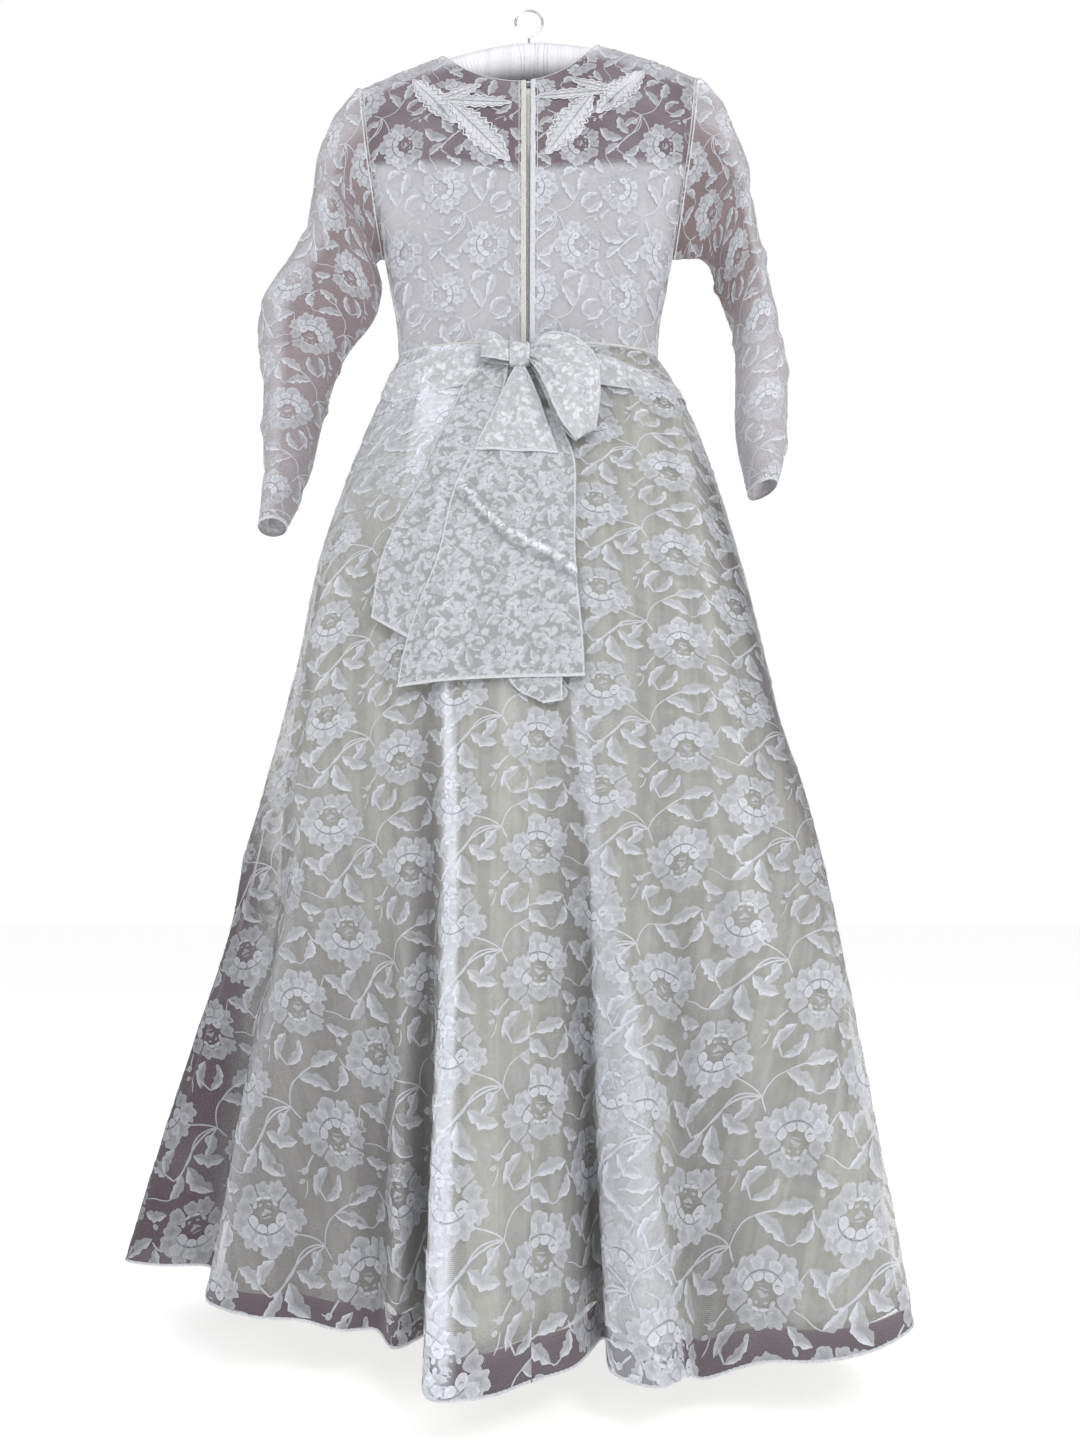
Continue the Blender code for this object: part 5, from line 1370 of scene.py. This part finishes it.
# ---- seams, neckline and the zip
trims = Trim()
for node, panel in bodicePanels.items():
    trims.band(panel, *alongRow(panel, 0.0016, 120, (0.002, 0.998)), 0.0034, 0.0001, 0.0007)
    if node != "bodice_front":
        trims.band(panel, *alongEdge(panel, node == "bodice_back_right", 0.0016, 90), 0.0020, 0.0001, 0.0004)
for node, panel in bodicePanels.items():
    rim = panel.sample(panel.arc, np.linspace(0, len(panel.a) - 1, 140), np.full(140, len(panel.b) - 1.0))
    trims.band(panel, rim, panel.fall[-1] - 0.0014, 0.0030, 0.0002, 0.0009)
trims.made("bodice_seams", finishes["seam"], "lace")

for side, last, finish in (("left", True, "placketLeft"), ("right", False, "placketRight")):
    placket, panel = Trim(), bodicePanels["bodice_back_" + side]
    s, v = alongEdge(panel, last, 0.0032, 120)
    wavy = 0.0004 * np.sin(v * 90) + 0.0003 * np.sin(v * 210 + 1)
    placket.band(panel, s + wavy, v, 0.0068, 0.0005, 0.0009, across=6)
    placket.band(panel, *alongEdge(panel, last, 0.0092, 120), 0.0010, 0.0002, 0.0005)
    placket.made("placket_" + side, finishes[finish], "lining")

zipper = dict(bottom=1.064, top=1.424, tapeHalf=0.011, pitch=0.0015, tooth=(0.0018, 0.0010, 0.0008),
              slider=(0.0060, 0.0030, 0.0090))


def zipInset(height):
    behindLace, behindLining = dress["wall"] + 0.0008, 2 * dress["wall"] + 0.0028
    return mixed(behindLining, behindLace, eased((height - liningTop(0.0, False) - 0.004) / 0.03))


def tapePoint(x, height):
    side = readRows(bodiceSections, "height", height, "side")
    return bodicePoint(turnAt(x, side), height, zipInset(height))


tapePanel = Panel(tapePoint, (-zipper["tapeHalf"], zipper["tapeHalf"]), (zipper["top"], zipper["bottom"]), -1,
                  16, 120)
shell("zip_tape_cloth", tapePanel, finishes["tape"], "zip_tape", 12, 90, thickness=0.0007)


def block(shape, middle, size, rounding=0.0):
    made = bmesh.ops.create_cube(shape, size=1)["verts"]
    for corner in made:
        corner.co = Vector([middle[k] + corner.co[k] * size[k] for k in range(3)])
    if rounding:
        edges = {edge for corner in made for edge in corner.link_edges}
        bmesh.ops.bevel(shape, geom=list(edges), offset=rounding, segments=2, profile=0.5, affect="EDGES",
                        material=-1)


def meshOf(name, shape, look):
    bmesh.ops.recalc_face_normals(shape, faces=shape.faces)
    mesh = bpy.data.meshes.new(name)
    shape.to_mesh(mesh)
    shape.free()
    return newObject(name, mesh, look)


coil = bmesh.new()
for height in np.arange(zipper["bottom"] + 0.002, zipper["top"] - 0.010, zipper["pitch"]):
    spot = tapePoint(np.array([0.0]), np.array([height]))[0]
    for hand in (-1, 1):
        block(coil, (hand * 0.0008, spot[1] - 0.0007, spot[2] + hand * zipper["pitch"] / 4), zipper["tooth"])
meshOf("zip_coil", coil, finishes["teeth"])

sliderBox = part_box("zip_slider")
middle = [(sliderBox[0][k] + sliderBox[1][k]) / 2 for k in range(3)]
slider = bmesh.new()
block(slider, middle, zipper["slider"], 0.0008)
block(slider, (middle[0], middle[1] - 0.0016, middle[2] + 0.0006), (0.0026, 0.0009, 0.0052), 0.0003)
meshOf("zip_slider_body", slider, finishes["slider"])
print("zip made")


# ---- leaves sewn on the yoke, in millimetres: base x and height, tip x and height, width, thick side
leafTables = {
    "left": "-152.6 1446.1 -94.7 1366.1 23.6 1, -111.7 1405.5 -61.7 1429.1 14.4 1, "
            "-109.5 1403.3 -21.3 1397.4 14.4 -1, -103.5 1401 -23.4 1308.5 27.5 -1",
    "right": "152.1 1460 88.4 1381.4 26.2 -1, 109.9 1420.9 56.3 1436.7 13.1 -1, "
             "108.5 1419.4 8.5 1406.5 11.8 1, 83 1412.5 23.1 1318.9 28.8 1",
}


def leafSprig(leaves):
    sprig = Sprig()
    for x, y, tipX, tipY, width, thickSide in leaves:
        length, turn = math.hypot(tipX - x, tipY - y), math.atan2(tipY - y, tipX - x)
        wide, lobes = width * 1.15, round(length / 11)

        def at(along, aside=0.0):
            return (x + along * length * math.cos(turn) - aside * math.sin(turn),
                    y + along * length * math.sin(turn) + aside * math.cos(turn))

        def half(along):
            lobed = abs(math.cos(math.pi * (along * lobes + 0.25))) - 0.5
            return 0.5 * wide * max(math.sin(math.pi * along), 0) ** 0.8 * (1 + 0.5 * lobed)

        sprig.leaf(x, y, math.degrees(turn), length, wide, 0.0, 0.55, thickSide, 0.35, 56, lobes, 0.5)
        steps = [k / 40 for k in range(41)]
        # the cords of tone near 0, inside the white edge cords and down the middle, are painted shade of open
        # lines
        for hand in (-1, 1):
            sprig.cord([at(t, hand * half(t)) for t in steps], 1.5, 0.75, 1.0, ends=0.7, samples=60)
            sprig.cord([at(t, hand * half(t) * 0.80) for t in steps[2:-2]], 0.9, 0.70, 0.02, samples=48)
            sprig.cord([at(t, hand * half(t) * 0.62) for t in steps[2:-2]], 1.0, 0.70, 0.9, samples=40)
        sprig.cord([at(t) for t in steps[:-3]], 1.1, 0.8, 0.06, ends=0.5, samples=18)
        for k in range(2, 12) if wide > 18 else range(3, 12, 2):
            for hand in (-1, 1):
                t, out = k / 13, hand * half(k / 13)
                vein = [at(t), at(t + 0.05, out * 0.32), at(t + 0.09, out * 0.6)]
                sprig.cord(vein, 0.7, 0.62, 0.20, samples=4)
    points, tones, faces = sprig.gathered()
    return points * 0.001, tones, faces


for side, leaves in leafTables.items():
    points, tones, faces = leafSprig(table(6, leaves, 1))
    marks = yokePanels["bodice_back_" + side]
    turn = turnAt(points[:, 0], readRows(bodiceSections, "height", points[:, 1], "side"))
    spots = marks.raised(*marks.gridPlace(turn, points[:, 1]), points[:, 2] + 0.0009)
    newPiece("applique_%s_leaves" % side, spots, faces, finishes["leaf"], "lace", tone=tones,
             fold=np.full(len(tones), 0.6))
print("leaves made")


# ---- the sash, the bow and its tails
bowCreases = {
    "sash_left": table(6,
        "-10 12 -150 6 5 2.2, -10 24 -140 28 5 2.4, -30 34 -120 44 5 2, -60 18 -165 16 4 -1.4"),
    "sash_right": table(6,
        "60 10 150 8 4 2, 60 24 165 18 5 2.2, 30 34 120 40 5 1.8"),
    "bow_tail_left": table(6,
        "-6 0 -12 180 7 3, 8 10 10 150 6 -1.8, 12 60 16 300 7 3, -16 100 -20 330 7 2.4, -10 180 20 230 6 2"),
    "bow_tail_centre": table(6,
        "-20 20 -40 200 9 2.6, 20 10 38 160 8 2.4, -50 200 -70 360 10 2.8, 20 230 30 360 10 2.2, "
        "-10 220 -18 340 10 -1.8, 50 120 70 300 7 2.4"),
    "bow_tail_under": table(6,
        "0 20 10 280 10 1.6"),
    "bow_drop": table(6,
        "-2 6 -24 110 6 2.4, 2 6 10 110 6 2.6, 4 10 32 115 5 2, -3 20 -6 110 5 -1.6"),
}


def loopGathers(depth, count):
    # creases that run out from the knot and die away towards the turn of the loop
    def swell(panel):
        out = np.sin(panel.gridA)
        b = panel.gridB
        phase = b * count * math.tau + 1.6 * np.sin(4.0 * out + 5 * b) + 1.2
        strength = (0.55 + 0.45 * np.sin(b * 17 + 1)) * np.clip(1.05 - out, 0, 1) ** 0.8
        return depth * strength * np.sin(phase) * eased(b / 0.08) * eased((1 - b) / 0.08)
    return swell


bowPanels = {}
for node in ("sash_left", "sash_right"):
    turns = sashes[node]["turn"]
    bowPanels[node] = Panel(lambda turn, share: sashPoint(node, turn, share), (turns[0], turns[-1]), (0, 1),
                            -1, 130, 30, 0.0, bowCreases[node])
for node in ("bow_tail_left", "bow_tail_centre", "bow_tail_under", "bow_drop"):
    last = len(strips[node]["off"]) - 1
    bowPanels[node] = Panel(lambda a, b: stripPoint(node, a, b), (0, 1), (0, last), -1, 110, 130, 0.5,
                            bowCreases[node])
for node, facing, depth, count in (("bow_loop_right", -1, 0.0032, 6), ("bow_loop_left", 1, 0.0018, 4)):
    bowPanels[node] = Panel(lambda turn, b: loopPoint(node, turn, b), (0, math.pi), (0, 1), facing, 180, 80,
                            math.pi / 2, swell=loopGathers(depth, count))
bowFineness = {
    "sash_left": (110, 22), "sash_right": (110, 22), "bow_tail_left": (40, 90), "bow_tail_centre": (70, 90),
    "bow_tail_under": (36, 60), "bow_drop": (60, 60), "bow_loop_right": (120, 60), "bow_loop_left": (90, 44),
}
for k, (node, panel) in enumerate(bowPanels.items()):
    if node == "bow_tail_centre":
        x, height = panel.points[..., 0], panel.points[..., 2] + hookHeight
        above = height - readRows(foldLine, "x", x, "height")
        # a painted highlight along the turned crest and a painted shadow just below it
        ridgeHighlightAndShadow = hump(above, 0.002, 0.004) - 0.8 * hump(above, -0.010, 0.006)
        panel.shadedFolds = np.clip(panel.shadedFolds + ridgeHighlightAndShadow * eased((x - fold["start"]) / 0.01), 0, 1.15)
    cloth = finishes["bow" if "tail" in node else "bowWhite"]
    shell(node + "_cloth", panel, cloth, "bow_lace", *bowFineness[node], thickness=0.0008)
    laceOn(node + "_lace", panel, finishes["bowMotif"], "bow_lace", (0.017 * k, 0.031 * k), k % 2 == 1, 0.58)
    rolled, strip = Trim(), node in strips
    for edge in ("left", "right", "bottom") if strip else ("top", "bottom"):
        if edge in ("top", "bottom"):
            s, v = alongRow(panel, 0.0016 if edge == "top" else panel.fall[-1] - 0.0016, 130)
        else:
            s, v = alongEdge(panel, edge == "right", 0.0016, 130)
        width, crown = (0.0044, 0.0010) if strip and edge == "bottom" else (0.0016, 0.0005)
        rolled.band(panel, s, v, width, 0.0002, crown, scallop=0.2)
    rolled.made(node + "_edges", finishes["edge"], "bow_lace")

knot = dict(left=-0.0218, right=0.0026, middle=1.0306, half=0.0164, behind=0.0049, depth=0.010,
            roundEnds=0.12)
knotFlat = float(drape(np.array(-0.01), np.array(knot["middle"]))) - knot["behind"] - knot["depth"]


def knotPoint(turn, share):
    inside = np.clip(share, 0, 1)
    beyond = np.maximum(np.maximum(-share, share - 1), 0) / knot["roundEnds"]
    full = (0.86 + 0.14 * np.sin(math.pi * inside)) * np.sqrt(np.clip(1 - beyond ** 2, 0, 1))
    gathered = 1 + 0.05 * np.sin(share * 21 + 0.8 * np.sin(turn * 3)) * np.sin(math.pi * inside)
    height = knot["half"] * signedPower(np.sin(turn), 0.7) * full
    depth = knot["depth"] * signedPower(np.cos(turn), 0.7) * full * gathered * 0.97
    x = mixed(knot["left"], knot["right"], inside)
    return joined(x, knotFlat - depth, knot["middle"] + height - hookHeight)


knotPanel = Panel(knotPoint, (0, math.tau), (-knot["roundEnds"], 1 + knot["roundEnds"]), -1, 90, 60)
# painted fold shade turned round: the knot's hollows painted pale, its crests dark
knotPanel.shadedFolds = 1 - knotPanel.shadedFolds            # the knot's hollows are its pale parts
shell("bow_knot_cloth", knotPanel, finishes["bowWhite"], "bow_lace", 72, 44, weld=True)
laceOn("bow_knot_lace", knotPanel, finishes["bowMotif"], "bow_lace", (0.01, 0.01), scale=0.6)
print("bow made")


# ---- the padded hanger
hanger = dict(radius=dress["padRadius"], half=dress["padHalfLength"], gathers=210, gatherDepth=0.0007)


def padPoint(angle, share):
    x = hanger["half"] * np.sin(share * math.pi / 2)
    end = np.maximum(np.abs(x) - (hanger["half"] - hanger["radius"]), 0) / hanger["radius"]
    puckers = 1 - hanger["gatherDepth"] / hanger["radius"] * (0.5 + 0.5 * np.sin(
        x * hanger["gathers"] * math.tau + 1.4 * np.sin(angle * 2 + x * 60) + 2.0 * np.sin(x * 35)))
    radius = hanger["radius"] * np.sqrt(np.clip(1 - end * end, 0.0, 1)) * puckers
    slope = (shoulderHeight(x + 0.004) - shoulderHeight(x - 0.004)) / 0.008
    lean = np.hypot(1, slope)
    z = shoulderHeight(x) - padRise(x) - hookHeight + radius * np.sin(angle) / lean
    return joined(x - radius * np.sin(angle) * slope / lean, radius * np.cos(angle), z)


padPanel = Panel(padPoint, (0, math.tau), (-1, 1), 1, 60, 700)
padPiece = shell("hanger_pad_satin", padPanel, finishes["satin"], "satin", 40, 620, weld=True)
threads = Trim()
for k, x in enumerate((-0.012, -0.007, 0.008, 0.0125, 0.021, 0.0255)):
    v = np.interp(np.arcsin(x / hanger["half"]) * 2 / math.pi, padPanel.b, padPanel.fall)
    angles = np.linspace(0, math.tau, 60)
    s = np.interp(angles, padPanel.a, padPanel.arc[:, len(padPanel.b) // 2])
    threads.band(padPanel, s, v + 0.0008 * np.sin(angles * 2 + k), 0.0012, 0.0001, 0.0004)
threads.made("hanger_threads", finishes["edge"], "satin")
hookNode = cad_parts["hanger_hook"]
hookNode.data.materials.clear()
hookNode.data.materials.append(finishes["hook"])
print("hanger made")


# ---- cuff snaps
snap = dict(radius=0.0022, flatness=0.45, raised=0.0010)
# angle round the cuff, and how far up from its edge
snapSpots = dict(left=((1.55, 0.006), (1.75, 0.006)), right=((1.45, 0.006), (1.60, 0.016)))
snaps = bmesh.new()
for side, spots in snapSpots.items():
    panel = sleevePanels["sleeve_" + side]
    for angle, up in spots:
        i = np.interp([angle], panel.a, np.arange(len(panel.a)))
        j = np.interp([panel.fall[-1] - up], panel.fall, np.arange(len(panel.fall)))
        spot = Vector(panel.raised(i, j, np.array([snap["raised"]]))[0])
        made = bmesh.ops.create_uvsphere(snaps, u_segments=14, v_segments=8, radius=snap["radius"])["verts"]
        for corner in made:
            corner.co.y *= snap["flatness"]
            corner.co += spot
meshOf("cuff_snaps", snaps, finishes["snap"])


# ---- the pieces hung on one root, and the cad parts that they replace hidden
for piece in pieces.values():
    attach(piece, "root")


def withNames(*names):
    return [pieces[name] for name in names]


def declare(name, panel, nodes, restsOn, extras, share=1.0):
    width, length = panel.flatSize()
    area = panel.area() * share
    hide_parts(*nodes)


for node, panel in lacePanels.items():
    declare(node + "_net", panel, [node], ["bodice_front_net"],
            withNames(node + "_lace", node + "_hem"))
for node in ("skirt_lining_back", "skirt_lining_front"):
    declare(node + "_cloth", liningPanels[node], [node], ["bodice_lining_front_cloth"], [])
for node, panel in bodicePanels.items():
    declare(node + "_net", panel, [node], ["hanger_pad_satin"], withNames(node + "_lace"))
    name = node.replace("bodice", "bodice_lining")
    declare(name + "_cloth", liningPanels[name], [name], [node + "_net"], [])
for node, panel in sleevePanels.items():
    declare(node + "_net", panel, [node], ["bodice_front_net"],
            withNames(node + "_lace", node + "_seams"))
for node, panel in bowPanels.items():
    held = "gathered" if "loop" in node or "sash" in node else "draped"
    declare(node + "_cloth", panel, [node], ["skirt_back_left_net", "skirt_back_right_net"],
            withNames(node + "_lace", node + "_edges"))
declare("bow_knot_cloth", knotPanel, ["bow_knot"], ["skirt_back_left_net"],
        withNames("bow_knot_lace"), 0.5)
declare("zip_tape_cloth", tapePanel, ["zip_tape"], ["bodice_lining_back_left_cloth"],
        withNames("zip_coil"))
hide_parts("zip_slider")
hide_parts("applique_left")
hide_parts("applique_right")
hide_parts("hanger_pad")


# ---- floor, light and camera
floorLook = Look("pale_floor", Roughness=0.9, Emission_Color=(1.0, 1.0, 1.0), Emission_Strength=0.66)
grain = floorLook.noise(floorLook.place(), 30.0)
floorLook.put("Base Color", floorLook.blend(grain * 0.3, (0.93, 0.93, 0.93), (0.90, 0.90, 0.90)))
floorHeight = -1.620
bpy.ops.mesh.primitive_plane_add(size=60, location=(0, 0, floorHeight))
floor = bpy.context.object
floor.name = "floor"
floor.data.materials.append(floorLook.material)

world = bpy.data.worlds.new("studio")
bpy.context.scene.world = world
world.use_nodes = True
sky = world.node_tree.nodes["Background"]
sky.inputs["Color"].default_value = (1.0, 1.0, 1.0, 1)
rays = world.node_tree.nodes.new("ShaderNodeLightPath")
glow = world.node_tree.nodes.new("ShaderNodeMapRange")
world.node_tree.links.new(rays.outputs["Is Camera Ray"], glow.inputs["Value"])
glow.inputs["To Min"].default_value, glow.inputs["To Max"].default_value = 0.34, 1.0
world.node_tree.links.new(glow.outputs["Result"], sky.inputs["Strength"])

# place, size, power and colour of each light
studio = dict(
    key=((1.1, -2.4, 0.6), 0.9, 24, (1.0, 1.0, 1.0)),
    fill=((-1.8, -2.0, 0.7), 1.4, 8, (0.97, 0.98, 1.0)),
    above=((0.0, -0.8, 1.5), 1.4, 7, (1.0, 1.0, 1.0)),
    behind=((0.7, 2.8, 0.5), 1.2, 11, (1.0, 1.0, 1.0)),
)
for name, (place, size, power, colour) in studio.items():
    light = bpy.data.lights.new(name, "AREA")
    light.size, light.energy, light.color = size, power, colour
    lamp = bpy.data.objects.new(name, light)
    bpy.context.scene.collection.objects.link(lamp)
    lamp.location = place
    lamp.rotation_euler = (Vector((0, 0, -0.8)) - Vector(place)).to_track_quat("-Z", "Y").to_euler()

view = dict(place=(0.015, -1.286, -1.208), tilt=100.0, lens=27.05, sensor=36)
camera = bpy.data.cameras.new("camera")
camera.lens, camera.sensor_width, camera.sensor_fit = view["lens"], view["sensor"], "AUTO"
camera.clip_start, camera.clip_end = 0.05, 100
eye = bpy.data.objects.new("camera", camera)
bpy.context.scene.collection.objects.link(eye)
eye.location = view["place"]
eye.rotation_euler = (math.radians(view["tilt"]), 0, 0)
bpy.context.scene.camera = eye
bpy.context.scene.view_settings.view_transform = "Standard"
